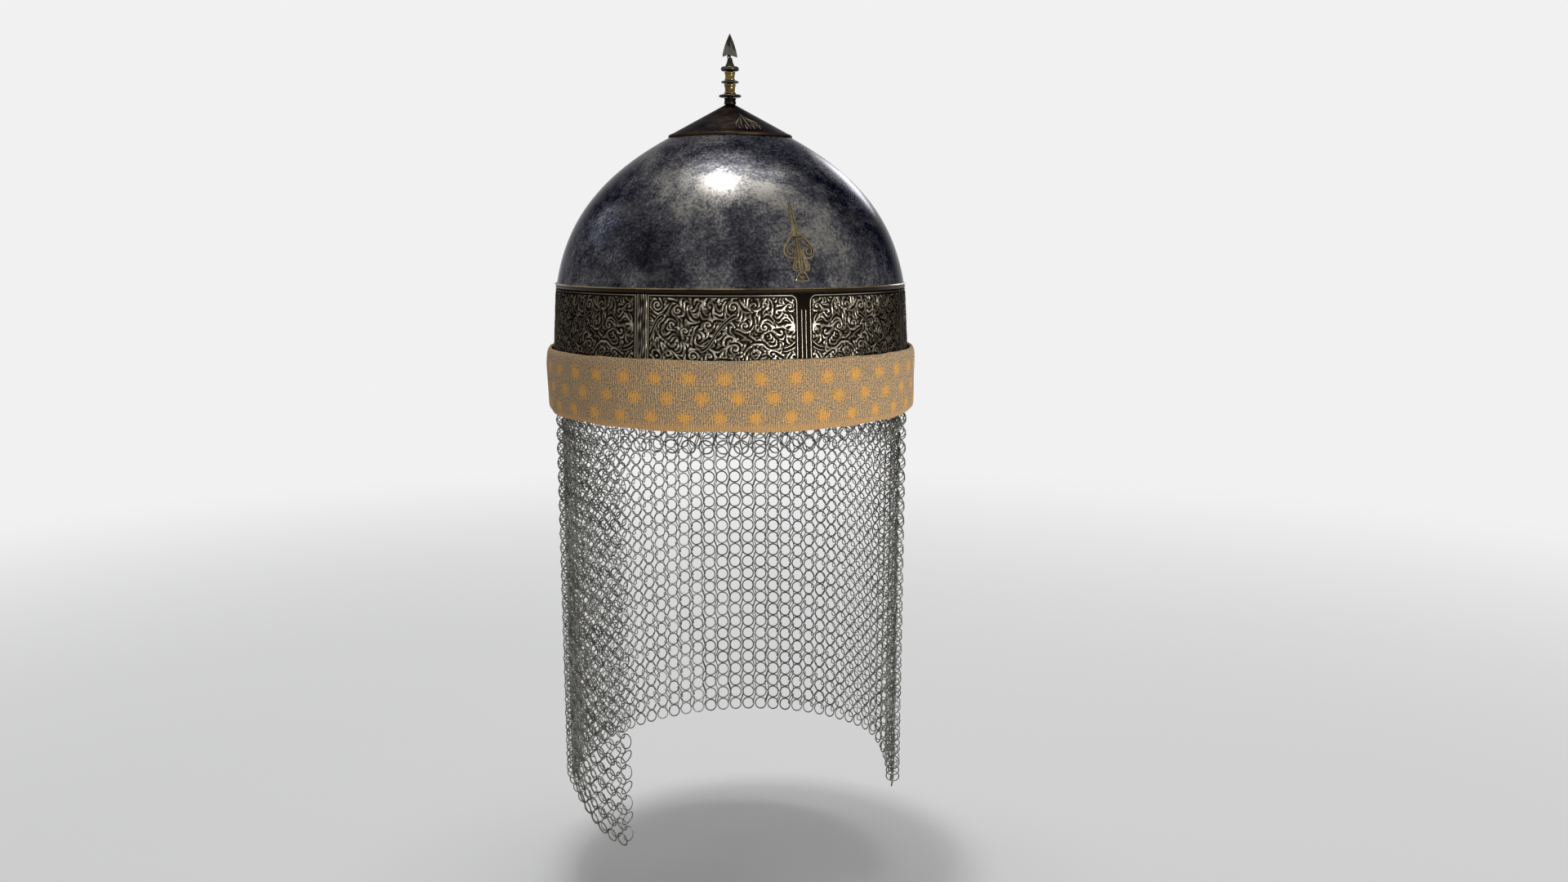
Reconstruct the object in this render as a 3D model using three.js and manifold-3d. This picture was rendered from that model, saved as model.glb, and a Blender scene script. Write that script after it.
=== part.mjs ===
// A Mughal helmet: a raised steel bowl with a crown plate and turned finial, a chiselled brow band,
// a padded cloth roll round the rim, a quilted lining and a curtain of mail that hangs from rim rings.
import * as THREE from "three";
import { mergeVertices } from "three/addons/utils/BufferGeometryUtils.js";
import Module from "manifold-3d";

const wasm = await Module();
wasm.setup();

// Lengths are millimetres and +Z is up. The face opening looks along -Y.
// The origin is the centre of the bowl's lower rim, where the head goes in.
const { degToRad, lerp, smoothstep } = THREE.MathUtils;

// Fits that every piece shares
const SEAT_GAP = 0.3; // between two pieces that touch
const OVERRUN = 4; // how far a cutting solid runs past what it cuts
const WELD_SHARE = 0.003; // of the seat gap: corners nearer than this are one corner
const ROUND_STEPS = 36; // facets round the bowl and everything that fits it
const LINING_STEPS = 18; // facets round the lining: every second one of the bowl's
const TURNED_STEPS = 16; // facets round the small turned pieces
const PIN_STEPS = 8; // facets round rivets, small holes and sockets
const CORNER_STEPS = 3; // facets round the corner of a cartouche

// Bowl: one raised shell, set in a little under the brow band
const WALL = 1.5;
const RIM_RADIUS = 105.8;
const BROW_SET_IN = 2.3;
const BROW_RADIUS = RIM_RADIUS - BROW_SET_IN;
const BROW_HEIGHT = 69;
const BROW_STEP = 0.7;
const BROW_STEP_RISE = 2.5;
const BROW_LEAN = degToRad(9.9);
const SHOULDER_RADIUS = 37.5;
const SHOULDER_RISE = 86.7;
const SHOULDER_HEIGHT = BROW_HEIGHT + SHOULDER_RISE;
const CROWN_SLOPE = degToRad(28.5);
const BROW_PULL_SHARE = 0.316;
const SHOULDER_PULL_SHARE = 0.453;
const DOME_STEPS = 6;

// Brow band: a chiselled strip with raised cartouches between grooved dividers
const BAND_FOOT = 24.5;
const BAND_TOP_DROP = 0.8;
const BAND_TOP = BROW_HEIGHT - BAND_TOP_DROP;
const BAND_BASE = 0.7;
const BAND_RELIEF = 0.5;
const BORDER_HEIGHT = 3.2;
const DIVIDER_WIDTH = 6.5;
const DIVIDER_ANGLES = [0, 49, 98, 147, -147, -98, -49].map(degToRad);
const CARTOUCHE_ROUND = 4.5;
const RIB_WIDTH = 0.7;
const RIB_SPREAD = 2.4;
const RIB_TOP_DROP = 8;
const MOULDING_HEIGHT = 2.7;
const MOULDING_PROUD = 0.6;
const MOULDING_LIP_SHARE = 0.25;

// Rivets that hold the band, under the cloth roll
const RIVET_RADIUS = 1.2;
const RIVET_HEAD_RADIUS = 2.2;
const RIVET_HEAD = 0.9;
const RIVET_RISE = 2.8;
const RIVET_HEIGHT = BAND_FOOT + RIVET_RISE;
const RIVET_DOME_SHARES = [0.75, 0.7]; // of the head's radius and height
const RIVET_ANGLES = [24.5, 122.5, -122.5, -24.5].map(degToRad);

// Front palmette: a pierced gilt ornament on the bowl above the front divider
const PALMETTE_RISE = 5.6;
const PALMETTE_FOOT = BROW_HEIGHT + PALMETTE_RISE;
const PALMETTE_HEIGHT = 41.4;
const PALMETTE_WIDTH = 17.4;
const PALMETTE_THICKNESS = 0.9;

// Crown plate
const PLATE_SET_IN = 0.6;
const PLATE_RADIUS = SHOULDER_RADIUS - PLATE_SET_IN;
const PLATE_WALL = 1;
const PLATE_BEAD_WIDTH = 1.8;
const PLATE_BEAD_HEIGHT = 0.5;
const PLATE_BEAD_SIDE_SHARE = 0.25;

// Finial: turned pieces threaded on one rod, clamped by the spearhead above and a nut below
const ROD_RADIUS = 1.8;
const SPIGOT_RADIUS = 0.6;
const COLLAR_RADIUS = 3.5;
const COLLAR_HEIGHT = 3.6;
const LOWER_DISC_RADIUS = 6.7;
const LOWER_DISC_HEIGHT = 1.8;
const LOWER_SPOOL_RADIUS = 3.5;
const LOWER_SPOOL_HEIGHT = 5.9;
const MIDDLE_DISC_RADIUS = 5.25;
const MIDDLE_DISC_HEIGHT = 1.4;
const UPPER_SPOOL_RADIUS = 3.25;
const UPPER_SPOOL_HEIGHT = 4.9;
const UPPER_DISC_RADIUS = 5.4;
const UPPER_DISC_HEIGHT = 2.8;
const CONE_FOOT_RADIUS = 2.7;
const CONE_TOP_RADIUS = 1.45;
const CONE_HEIGHT = 4.7;
const SPEAR_RADIUS = 4.7;
const SPEAR_HEIGHT = 13.6;
const SPEAR_BLADES = 4;
const SPEAR_VALLEY_SHARE = 0.34;
const SPEAR_TIP_SHARE = 0.03;
const SPEAR_SWELL = 0.85; // under 1 swells the blades, and 1 leaves them straight
const SPEAR_STEPS = 4;
const SPEAR_SOCKET = 4;
const DISC_EDGE_SHARE = 0.3;
const DISC_SHOULDER_SHARE = 0.7;
const SPOOL_WAIST_SHARE = 0.86;
const SPOOL_STATION_SHARES = [0.18, 0.26, 0.7, 0.88]; // of its height

// Inside the crown
const WASHER_RADIUS = 7;
const WASHER_WALL = 1;
const NUT_RADIUS = 4.4;
const NUT_SIDES = 6;
const NUT_HEIGHT = 3;
const ROD_TAIL = 1.5;

// Lining: a padded cap inside the bowl
const LINING_WALL = 4;
const LINING_FOOT = 7;
const LINING_FLAT_RADIUS = 20;

// Cloth roll round the outside of the rim
const ROLL_OVERLAP = 8.9;
const ROLL_TOP = BAND_FOOT + ROLL_OVERLAP;
const ROLL_BOTTOM = -4.2;
const ROLL_TOP_PROUD = 6;
const ROLL_TOP_RADIUS = RIM_RADIUS + ROLL_TOP_PROUD;
const ROLL_BOTTOM_PROUD = 4.2;
const ROLL_BOTTOM_RADIUS = RIM_RADIUS + ROLL_BOTTOM_PROUD;
const ROLL_BELLY = 1.1;
const ROLL_ROUND = 3;
const ROLL_SEAT_FOOT = 9;
const ROLL_SEAT_DROP = 4.5;
const ROLL_SEAT_TOP = BAND_FOOT - ROLL_SEAT_DROP;
const ROLL_CURVE_STEPS = 2;

// Mail: a net of linked rings, hung from the rim by hanger rings
const OPENING_HALF_ANGLE = degToRad(59.3);
const DROPS = 3;
const STRIPS_PER_DROP = 2;
const COLUMNS_PER_STRIP = 4;
const MAIL_ROWS = 9;
const MAIL_THICKNESS = 1.6;
const MAIL_WEB = 2.4;
const MAIL_SET_IN = 0.8;
const MAIL_TOP = -2.2;
const MAIL_TAPER = 1.5;
const MAIL_SHINGLE = 0.5;
const RING_SHOULDER_SHARE = 0.5;
const HEM_DROP = 235;
const HEM_POINT_DROP = 16;
const HEM_SWAY = 4;
const HEM_SWAY_ANGLE = degToRad(80);
const HEM_POINT_ANGLE = degToRad(64);
const HEM_LEVEL_ANGLE = degToRad(97);
const FRINGE_STRIPS = 3;
const FRINGE_COLUMNS = 5;
const FRINGE_HEM = -18.8;
const HANGER_WIRE = 1;
const HANGER_SLACK = 0.9;
const HANGER_OUTSIDE = 0.4;
const HANGER_TOP = 4;
const HANGER_STEPS = 8;
const HANGER_SIDES = 5;
const HANGER_COLUMNS = [1, 3, 4, 6]; // of each drop, counted from its first column
const HANGER_HOLE_RADIUS = 1.6;

const FINISHES = {
  bluedSteel: { color: 0x434754, roughness: 0.38, metalness: 0.9 },
  darkBronze: { color: 0x3a2c20, roughness: 0.45, metalness: 0.85 },
  agedBrass: { color: 0x8a7038, roughness: 0.35, metalness: 0.95 },
  brightSteel: { color: 0x8d8d8b, roughness: 0.25, metalness: 1 },
  chiselledSteel: { color: 0x5d5747, roughness: 0.4, metalness: 0.9 },
  gilt: { color: 0xa8873f, roughness: 0.35, metalness: 0.95 },
  printedCloth: { color: 0xa58657, roughness: 0.95, metalness: 0 },
  liningCloth: { color: 0x7d6a4c, roughness: 1, metalness: 0 },
  mailSteel: { color: 0x80807a, roughness: 0.4, metalness: 0.95 },
};

const helmet = new THREE.Group();

function addPiece(name, geometry, finish) {
  const piece = new THREE.Mesh(geometry, new THREE.MeshStandardMaterial(FINISHES[finish]));
  piece.name = name;
  helmet.add(piece);
  return piece;
}

function point(radius, height) {
  return new THREE.Vector2(radius, height);
}

// A closed outline of (radius, height) points turned round the helmet's axis
function revolve(outline, steps) {
  const loop = THREE.ShapeUtils.isClockWise(outline) ? outline.slice().reverse() : outline.slice();
  const onAxis = loop[0].x === 0 && loop[loop.length - 1].x === 0;
  if (!onAxis) loop.push(loop[0].clone());
  return new THREE.LatheGeometry(loop, steps).rotateX(Math.PI / 2);
}

function toSolid(geometry) {
  const bare = geometry.clone();
  bare.deleteAttribute("normal");
  bare.deleteAttribute("uv");
  const merged = mergeVertices(bare, SEAT_GAP * WELD_SHARE);
  return new wasm.Manifold(
    new wasm.Mesh({
      numProp: 3,
      vertProperties: merged.attributes.position.array,
      triVerts: new Uint32Array(merged.index.array),
    }),
  );
}

function toGeometry(solid) {
  const mesh = solid.getMesh();
  const geometry = new THREE.BufferGeometry();
  geometry.setAttribute("position", new THREE.BufferAttribute(mesh.vertProperties, 3));
  geometry.setIndex(new THREE.BufferAttribute(mesh.triVerts, 1));
  return geometry;
}

// Outward direction at an angle round the helmet: 0 is the front, and the wearer's left is positive
function outward(angle) {
  return new THREE.Vector3(Math.sin(angle), -Math.cos(angle), 0);
}

// Turns a shape drawn across (x) and up (y), with its depth along z, to face outward at an angle
function faceOutward(geometry, angle, startRadius) {
  const out = outward(angle);
  const across = new THREE.Vector3(Math.cos(angle), Math.sin(angle), 0);
  const up = new THREE.Vector3(0, 0, 1);
  const place = new THREE.Matrix4().makeBasis(across, up, out).setPosition(out.multiplyScalar(startRadius));
  return geometry.applyMatrix4(place);
}

function radialPrism(shape, angle, startRadius, endRadius, curveSteps) {
  const options = { depth: endRadius - startRadius, bevelEnabled: false, curveSegments: curveSteps };
  return faceOutward(new THREE.ExtrudeGeometry(shape, options), angle, startRadius);
}

function radialHole(radius, steps, angle, height, startRadius, endRadius) {
  const length = endRadius - startRadius;
  const drill = new THREE.CylinderGeometry(radius, radius, length, steps);
  drill.rotateX(Math.PI / 2);
  drill.translate(0, height, length / 2);
  return toSolid(faceOutward(drill, angle, startRadius));
}

// Bowl lines. An inset moves a line inwards along the wall's normal.
function domeLine(inset) {
  const start = point(BROW_RADIUS + BROW_STEP, BROW_HEIGHT + BROW_STEP_RISE);
  const end = point(SHOULDER_RADIUS, SHOULDER_HEIGHT);
  const chord = start.distanceTo(end);
  const browPull = chord * BROW_PULL_SHARE;
  const shoulderPull = chord * SHOULDER_PULL_SHARE;
  const curve = new THREE.CubicBezierCurve(
    start,
    point(start.x - browPull * Math.sin(BROW_LEAN), start.y + browPull * Math.cos(BROW_LEAN)),
    point(end.x + shoulderPull * Math.cos(CROWN_SLOPE), end.y - shoulderPull * Math.sin(CROWN_SLOPE)),
    end,
  );
  return curve.getPoints(DOME_STEPS).map((corner, step) => {
    const along = curve.getTangent(step / DOME_STEPS);
    return point(corner.x - along.y * inset, corner.y + along.x * inset);
  });
}

function crownHeight(radius, inset) {
  const climb = (SHOULDER_RADIUS - radius) * Math.tan(CROWN_SLOPE);
  return SHOULDER_HEIGHT + climb - inset / Math.cos(CROWN_SLOPE);
}

function bowlLine(inset, foot) {
  return [
    point(RIM_RADIUS - inset, foot),
    point(RIM_RADIUS - inset, BAND_FOOT),
    point(BROW_RADIUS - inset, BROW_HEIGHT),
    ...domeLine(inset),
  ];
}

// Outside radius of the bowl's straight part under the band
function underBandRadius(height) {
  return lerp(RIM_RADIUS, BROW_RADIUS, (height - BAND_FOOT) / (BROW_HEIGHT - BAND_FOOT));
}

const BORE_RADIUS = ROD_RADIUS + SEAT_GAP;
const BAND_WALL = BAND_BASE + BAND_RELIEF;
const BAND_SEAT_RADIUS = RIM_RADIUS + SEAT_GAP;

// Mail sizes that the rim's holes and the hanger rings share
const CURTAIN_ANGLE = 2 * (Math.PI - OPENING_HALF_ANGLE);
const DROP_ANGLE = CURTAIN_ANGLE / DROPS;
const STRIP_ANGLE = DROP_ANGLE / STRIPS_PER_DROP;
const FRINGE_STRIP_ANGLE = (2 * OPENING_HALF_ANGLE) / FRINGE_STRIPS;
const MAIL_RADIUS = RIM_RADIUS - WALL - MAIL_SET_IN - MAIL_THICKNESS / 2;
const HANGER_INNER_RADIUS = MAIL_RADIUS - MAIL_THICKNESS / 2 - HANGER_SLACK;
const HANGER_OUTER_RADIUS = RIM_RADIUS + HANGER_OUTSIDE;
const HANGER_CENTRE_RADIUS = (HANGER_INNER_RADIUS + HANGER_OUTER_RADIUS) / 2;
const HANGER_HALF_WIDTH = (HANGER_OUTER_RADIUS - HANGER_INNER_RADIUS + HANGER_WIRE) / 2;

// The middles of the columns that carry a hanger ring, in each drop of mail and in the fringe
function hangerAngles() {
  const columnAngle = STRIP_ANGLE / COLUMNS_PER_STRIP;
  const angles = [];
  for (let drop = 0; drop < DROPS; drop++) {
    for (const column of HANGER_COLUMNS) {
      angles.push(OPENING_HALF_ANGLE + DROP_ANGLE * drop + columnAngle * (column + 0.5));
    }
  }
  for (let strip = 0; strip < FRINGE_STRIPS; strip++) {
    angles.push(-OPENING_HALF_ANGLE + FRINGE_STRIP_ANGLE * (strip + 0.5));
  }
  return angles;
}

function drillAll(body, holes) {
  return holes.reduce((left, hole) => left.subtract(hole), body);
}

function rivetHoles() {
  const start = RIM_RADIUS - WALL - OVERRUN;
  const end = RIM_RADIUS + OVERRUN;
  return RIVET_ANGLES.map((angle) =>
    radialHole(RIVET_RADIUS + SEAT_GAP, PIN_STEPS, angle, RIVET_HEIGHT, start, end),
  );
}

function makeBowl() {
  const outline = [
    ...bowlLine(0, 0),
    point(BORE_RADIUS, crownHeight(BORE_RADIUS, 0)),
    point(BORE_RADIUS, crownHeight(BORE_RADIUS, WALL)),
    ...bowlLine(WALL, 0).reverse(),
  ];
  const start = RIM_RADIUS - WALL - OVERRUN;
  const end = RIM_RADIUS + OVERRUN;
  const rimHoles = hangerAngles().map((angle) =>
    radialHole(HANGER_HOLE_RADIUS, PIN_STEPS, angle, HANGER_TOP - HANGER_WIRE / 2, start, end),
  );
  const shell = toSolid(revolve(outline, ROUND_STEPS));
  addPiece("bowl", toGeometry(drillAll(shell, [...rimHoles, ...rivetHoles()])), "bluedSteel");
}

function makeCrownPlate() {
  const under = -SEAT_GAP;
  const face = -(SEAT_GAP + PLATE_WALL);
  const beadStart = PLATE_RADIUS - PLATE_BEAD_WIDTH;
  const beadTop = face - PLATE_BEAD_HEIGHT;
  const beadSide = PLATE_BEAD_WIDTH * PLATE_BEAD_SIDE_SHARE;
  const outline = [
    point(BORE_RADIUS, crownHeight(BORE_RADIUS, under)),
    point(PLATE_RADIUS, crownHeight(PLATE_RADIUS, under)),
    point(PLATE_RADIUS, crownHeight(PLATE_RADIUS, face)),
    point(PLATE_RADIUS - beadSide, crownHeight(PLATE_RADIUS - beadSide, beadTop)),
    point(beadStart + beadSide, crownHeight(beadStart + beadSide, beadTop)),
    point(beadStart, crownHeight(beadStart, face)),
    point(BORE_RADIUS, crownHeight(BORE_RADIUS, face)),
  ];
  addPiece("crown_plate", revolve(outline, ROUND_STEPS), "darkBronze");
}

// Brow band
function bandRing(fromOffset, toOffset, foot, top) {
  const outline = [fromOffset, toOffset].flatMap((offset, side) => {
    const ends = [foot, top].map((height) => point(underBandRadius(height) + SEAT_GAP + offset, height));
    return side === 0 ? ends : ends.reverse();
  });
  return toSolid(revolve(outline, ROUND_STEPS));
}

// The groove between two cartouches, with the rounded corners of both at its head
function dividerShape() {
  const half = DIVIDER_WIDTH / 2;
  const head = BAND_TOP - BORDER_HEIGHT;
  const shape = new THREE.Shape();
  shape.moveTo(-half, BAND_FOOT - OVERRUN);
  shape.lineTo(half, BAND_FOOT - OVERRUN);
  shape.lineTo(half, head - CARTOUCHE_ROUND);
  shape.absarc(half + CARTOUCHE_ROUND, head - CARTOUCHE_ROUND, CARTOUCHE_ROUND, Math.PI, Math.PI / 2, true);
  shape.lineTo(half + CARTOUCHE_ROUND, head + BORDER_HEIGHT / 2);
  shape.lineTo(-half - CARTOUCHE_ROUND, head + BORDER_HEIGHT / 2);
  shape.absarc(-half - CARTOUCHE_ROUND, head - CARTOUCHE_ROUND, CARTOUCHE_ROUND, Math.PI / 2, 0, true);
  return shape;
}

function ribShape(centre) {
  const top = BAND_TOP - BORDER_HEIGHT - RIB_TOP_DROP;
  const shape = new THREE.Shape();
  shape.moveTo(centre - RIB_WIDTH / 2, BAND_FOOT);
  shape.lineTo(centre + RIB_WIDTH / 2, BAND_FOOT);
  shape.lineTo(centre + RIB_WIDTH / 2, top);
  shape.lineTo(centre, top + RIB_WIDTH);
  shape.lineTo(centre - RIB_WIDTH / 2, top);
  return shape;
}

function makeBrowBand() {
  const start = BROW_RADIUS - OVERRUN;
  const end = RIM_RADIUS + BAND_WALL + OVERRUN;
  const base = bandRing(0, BAND_BASE, BAND_FOOT, BAND_TOP);
  const relief = bandRing(BAND_BASE / 2, BAND_WALL, BAND_FOOT, BAND_TOP - BORDER_HEIGHT);
  const grooves = DIVIDER_ANGLES.map((angle) =>
    toSolid(radialPrism(dividerShape(), angle, start, end, CORNER_STEPS)),
  );
  const ribBand = bandRing(BAND_BASE / 2, BAND_WALL, BAND_FOOT, BAND_TOP - BORDER_HEIGHT);
  const ribs = DIVIDER_ANGLES.flatMap((angle) =>
    [-RIB_SPREAD / 2, RIB_SPREAD / 2].map((centre) =>
      toSolid(radialPrism(ribShape(centre), angle, start, end, 1)).intersect(ribBand),
    ),
  );
  const cartouches = drillAll(relief, grooves);
  const band = [cartouches, ...ribs].reduce((joined, part) => joined.add(part), base);
  addPiece("brow_band", toGeometry(drillAll(band, rivetHoles())), "chiselledSteel");
}

function makeTopMoulding() {
  const foot = BAND_TOP + SEAT_GAP;
  const top = foot + MOULDING_HEIGHT;
  const inner = BROW_RADIUS + SEAT_GAP;
  const outer = BROW_RADIUS + SEAT_GAP + BAND_WALL + MOULDING_PROUD;
  const lip = MOULDING_HEIGHT * MOULDING_LIP_SHARE;
  const outline = [
    point(inner, foot),
    point(inner, BROW_HEIGHT),
    point(inner + BROW_STEP, Math.min(top, BROW_HEIGHT + BROW_STEP_RISE)),
    point(outer - lip, top),
    point(outer, top - lip),
    point(outer, foot + lip),
    point(outer - lip, foot),
  ];
  addPiece("band_top_moulding", revolve(outline, ROUND_STEPS), "agedBrass");
}

function makeBandRivets() {
  const [domeRadiusShare, domeHeightShare] = RIVET_DOME_SHARES;
  RIVET_ANGLES.forEach((angle, index) => {
    const seat = underBandRadius(RIVET_HEIGHT - RIVET_HEAD_RADIUS) + 2 * SEAT_GAP + BAND_WALL;
    const tail = RIM_RADIUS - WALL + SEAT_GAP;
    const outline = [
      point(0, tail),
      point(RIVET_RADIUS, tail),
      point(RIVET_RADIUS, seat),
      point(RIVET_HEAD_RADIUS, seat),
      point(RIVET_HEAD_RADIUS * domeRadiusShare, seat + RIVET_HEAD * domeHeightShare),
      point(0, seat + RIVET_HEAD),
    ];
    const rivet = revolve(outline, PIN_STEPS);
    rivet.translate(0, RIVET_HEIGHT, 0);
    addPiece(`band_rivet_${index + 1}`, faceOutward(rivet, angle, 0), "agedBrass");
  });
}

// Half of the palmette's outline and its pierced eyes, as shares of half its width and of its height
const PALMETTE_EDGE_SHARES = [
  [0.5, 0],
  [0.44, 0.06],
  [0.3, 0.12],
  [0.6, 0.145],
  [0.56, 0.19],
  [0.4, 0.29],
  [0.86, 0.3],
  [1, 0.4],
  [0.86, 0.5],
  [0.32, 0.61],
  [0.2, 0.74],
  [0.09, 0.88],
  [0, 1],
];
const PALMETTE_EYE_SHARES = [
  [
    [0.42, 0.35],
    [0.78, 0.36],
    [0.86, 0.42],
    [0.74, 0.48],
    [0.36, 0.55],
    [0.28, 0.45],
  ],
  [
    [0.2, 0.16],
    [0.42, 0.18],
    [0.26, 0.27],
  ],
];

function palmettePoint([across, up], side) {
  return point((side * across * PALMETTE_WIDTH) / 2, PALMETTE_FOOT + up * PALMETTE_HEIGHT);
}

function makeFrontPalmette() {
  const right = PALMETTE_EDGE_SHARES.map((share) => palmettePoint(share, 1));
  const left = PALMETTE_EDGE_SHARES.slice(0, -1).map((share) => palmettePoint(share, -1));
  const shape = new THREE.Shape([...right, ...left.reverse()]);
  for (const side of [-1, 1]) {
    for (const eye of PALMETTE_EYE_SHARES) {
      shape.holes.push(new THREE.Path(eye.map((share) => palmettePoint(share, side))));
    }
  }
  const sheet = [...domeLine(-SEAT_GAP), ...domeLine(-SEAT_GAP - PALMETTE_THICKNESS).reverse()];
  const prism = radialPrism(shape, 0, SHOULDER_RADIUS, RIM_RADIUS + OVERRUN, 1);
  const ornament = toSolid(prism).intersect(toSolid(revolve(sheet, ROUND_STEPS)));
  addPiece("front_palmette", toGeometry(ornament), "gilt");
}

// Turned pieces of the finial: each starts a seat gap above the one below it
function turned(name, outline, finish) {
  addPiece(name, revolve(outline, TURNED_STEPS), finish);
}

function addDisc(name, radius, foot, height, finish) {
  const edge = height * DISC_EDGE_SHARE;
  const shoulder = lerp(BORE_RADIUS, radius, DISC_SHOULDER_SHARE);
  turned(
    name,
    [
      point(BORE_RADIUS, foot),
      point(shoulder, foot),
      point(radius, foot + (height - edge) / 2),
      point(radius, foot + (height + edge) / 2),
      point(shoulder, foot + height),
      point(BORE_RADIUS, foot + height),
    ],
    finish,
  );
}

function addSpool(name, radius, foot, height, finish) {
  const waist = lerp(BORE_RADIUS, radius, SPOOL_WAIST_SHARE);
  const stations = SPOOL_STATION_SHARES.map((share) => foot + height * share);
  turned(
    name,
    [
      point(BORE_RADIUS, foot),
      point(radius, foot),
      point(radius, stations[0]),
      point(waist, stations[1]),
      point(waist, stations[2]),
      point(radius, stations[3]),
      point(radius, foot + height),
      point(BORE_RADIUS, foot + height),
    ],
    finish,
  );
}

function makeFinial() {
  const plateFace = -(SEAT_GAP + PLATE_WALL);
  const collarFace = plateFace - SEAT_GAP;
  const collarTop = crownHeight(COLLAR_RADIUS, collarFace) + COLLAR_HEIGHT;
  turned(
    "neck_collar",
    [
      point(BORE_RADIUS, crownHeight(BORE_RADIUS, collarFace)),
      point(COLLAR_RADIUS, crownHeight(COLLAR_RADIUS, collarFace)),
      point(COLLAR_RADIUS, collarTop),
      point(BORE_RADIUS, collarTop),
    ],
    "darkBronze",
  );
  let foot = collarTop + SEAT_GAP;
  addDisc("lower_disc", LOWER_DISC_RADIUS, foot, LOWER_DISC_HEIGHT, "brightSteel");
  foot += LOWER_DISC_HEIGHT + SEAT_GAP;
  addSpool("lower_spool", LOWER_SPOOL_RADIUS, foot, LOWER_SPOOL_HEIGHT, "agedBrass");
  foot += LOWER_SPOOL_HEIGHT + SEAT_GAP;
  addDisc("middle_disc", MIDDLE_DISC_RADIUS, foot, MIDDLE_DISC_HEIGHT, "brightSteel");
  foot += MIDDLE_DISC_HEIGHT + SEAT_GAP;
  addSpool("upper_spool", UPPER_SPOOL_RADIUS, foot, UPPER_SPOOL_HEIGHT, "agedBrass");
  foot += UPPER_SPOOL_HEIGHT + SEAT_GAP;
  addDisc("upper_disc", UPPER_DISC_RADIUS, foot, UPPER_DISC_HEIGHT, "brightSteel");
  const rodShoulder = foot + UPPER_DISC_HEIGHT;
  foot += UPPER_DISC_HEIGHT + SEAT_GAP;
  const spigotBore = SPIGOT_RADIUS + SEAT_GAP;
  const coneTop = foot + CONE_HEIGHT;
  turned(
    "finial_cone",
    [
      point(spigotBore, foot),
      point(CONE_FOOT_RADIUS, foot),
      point(CONE_TOP_RADIUS, coneTop),
      point(spigotBore, coneTop),
    ],
    "brightSteel",
  );
  makeSpearhead(coneTop + SEAT_GAP, spigotBore);
  makeRod(rodShoulder, coneTop + SPEAR_SOCKET);
}

// A bladed point: a star drawn once, then drawn in to a tip
function makeSpearhead(foot, bore) {
  const star = [];
  for (let corner = 0; corner < SPEAR_BLADES * 2; corner++) {
    const angle = (corner * Math.PI) / SPEAR_BLADES;
    const reach = corner % 2 === 0 ? SPEAR_RADIUS : SPEAR_RADIUS * SPEAR_VALLEY_SHARE;
    star.push(point(reach * Math.cos(angle), reach * Math.sin(angle)));
  }
  const options = { depth: SPEAR_HEIGHT, steps: SPEAR_STEPS, bevelEnabled: false };
  const blades = new THREE.ExtrudeGeometry(new THREE.Shape(star), options);
  const corners = blades.getAttribute("position");
  for (let i = 0; i < corners.count; i++) {
    const share = corners.getZ(i) / SPEAR_HEIGHT;
    const taper = lerp(1, SPEAR_TIP_SHARE, Math.pow(share, SPEAR_SWELL));
    corners.setXY(i, corners.getX(i) * taper, corners.getY(i) * taper);
  }
  blades.translate(0, 0, foot);
  const socket = new THREE.CylinderGeometry(bore, bore, SPEAR_SOCKET + OVERRUN, PIN_STEPS);
  socket.rotateX(Math.PI / 2);
  socket.translate(0, 0, foot + (SPEAR_SOCKET - OVERRUN) / 2);
  addPiece("spearhead", toGeometry(toSolid(blades).subtract(toSolid(socket))), "brightSteel");
}

// The rod runs from below the nut, through the bowl and the turned pieces, into the spearhead
function makeRod(shoulder, tip) {
  const washerUnder = WALL + SEAT_GAP + WASHER_WALL;
  const nutTop = crownHeight(NUT_RADIUS, washerUnder) - SEAT_GAP;
  const nutFoot = nutTop - NUT_HEIGHT;
  const foot = nutFoot - ROD_TAIL;
  const rod = [
    point(0, foot),
    point(ROD_RADIUS, foot),
    point(ROD_RADIUS, shoulder),
    point(SPIGOT_RADIUS, shoulder),
    point(SPIGOT_RADIUS, tip),
    point(0, tip),
  ];
  turned("finial_rod", rod, "brightSteel");
  const washer = [
    point(BORE_RADIUS, crownHeight(BORE_RADIUS, WALL + SEAT_GAP)),
    point(BORE_RADIUS, crownHeight(BORE_RADIUS, washerUnder)),
    point(WASHER_RADIUS, crownHeight(WASHER_RADIUS, washerUnder)),
    point(WASHER_RADIUS, crownHeight(WASHER_RADIUS, WALL + SEAT_GAP)),
  ];
  addPiece("crown_washer", revolve(washer, TURNED_STEPS), "bluedSteel");
  const hexagon = new THREE.Shape();
  for (let corner = 0; corner < NUT_SIDES; corner++) {
    const angle = (2 * corner * Math.PI) / NUT_SIDES;
    const place = [NUT_RADIUS * Math.cos(angle), NUT_RADIUS * Math.sin(angle)];
    if (corner === 0) hexagon.moveTo(...place);
    else hexagon.lineTo(...place);
  }
  hexagon.holes.push(new THREE.Path().absarc(0, 0, BORE_RADIUS, 0, 2 * Math.PI, true));
  const options = { depth: NUT_HEIGHT, bevelEnabled: false, curveSegments: TURNED_STEPS };
  const nut = new THREE.ExtrudeGeometry(hexagon, options);
  nut.translate(0, 0, nutFoot);
  addPiece("crown_nut", nut, "bluedSteel");
}

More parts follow.
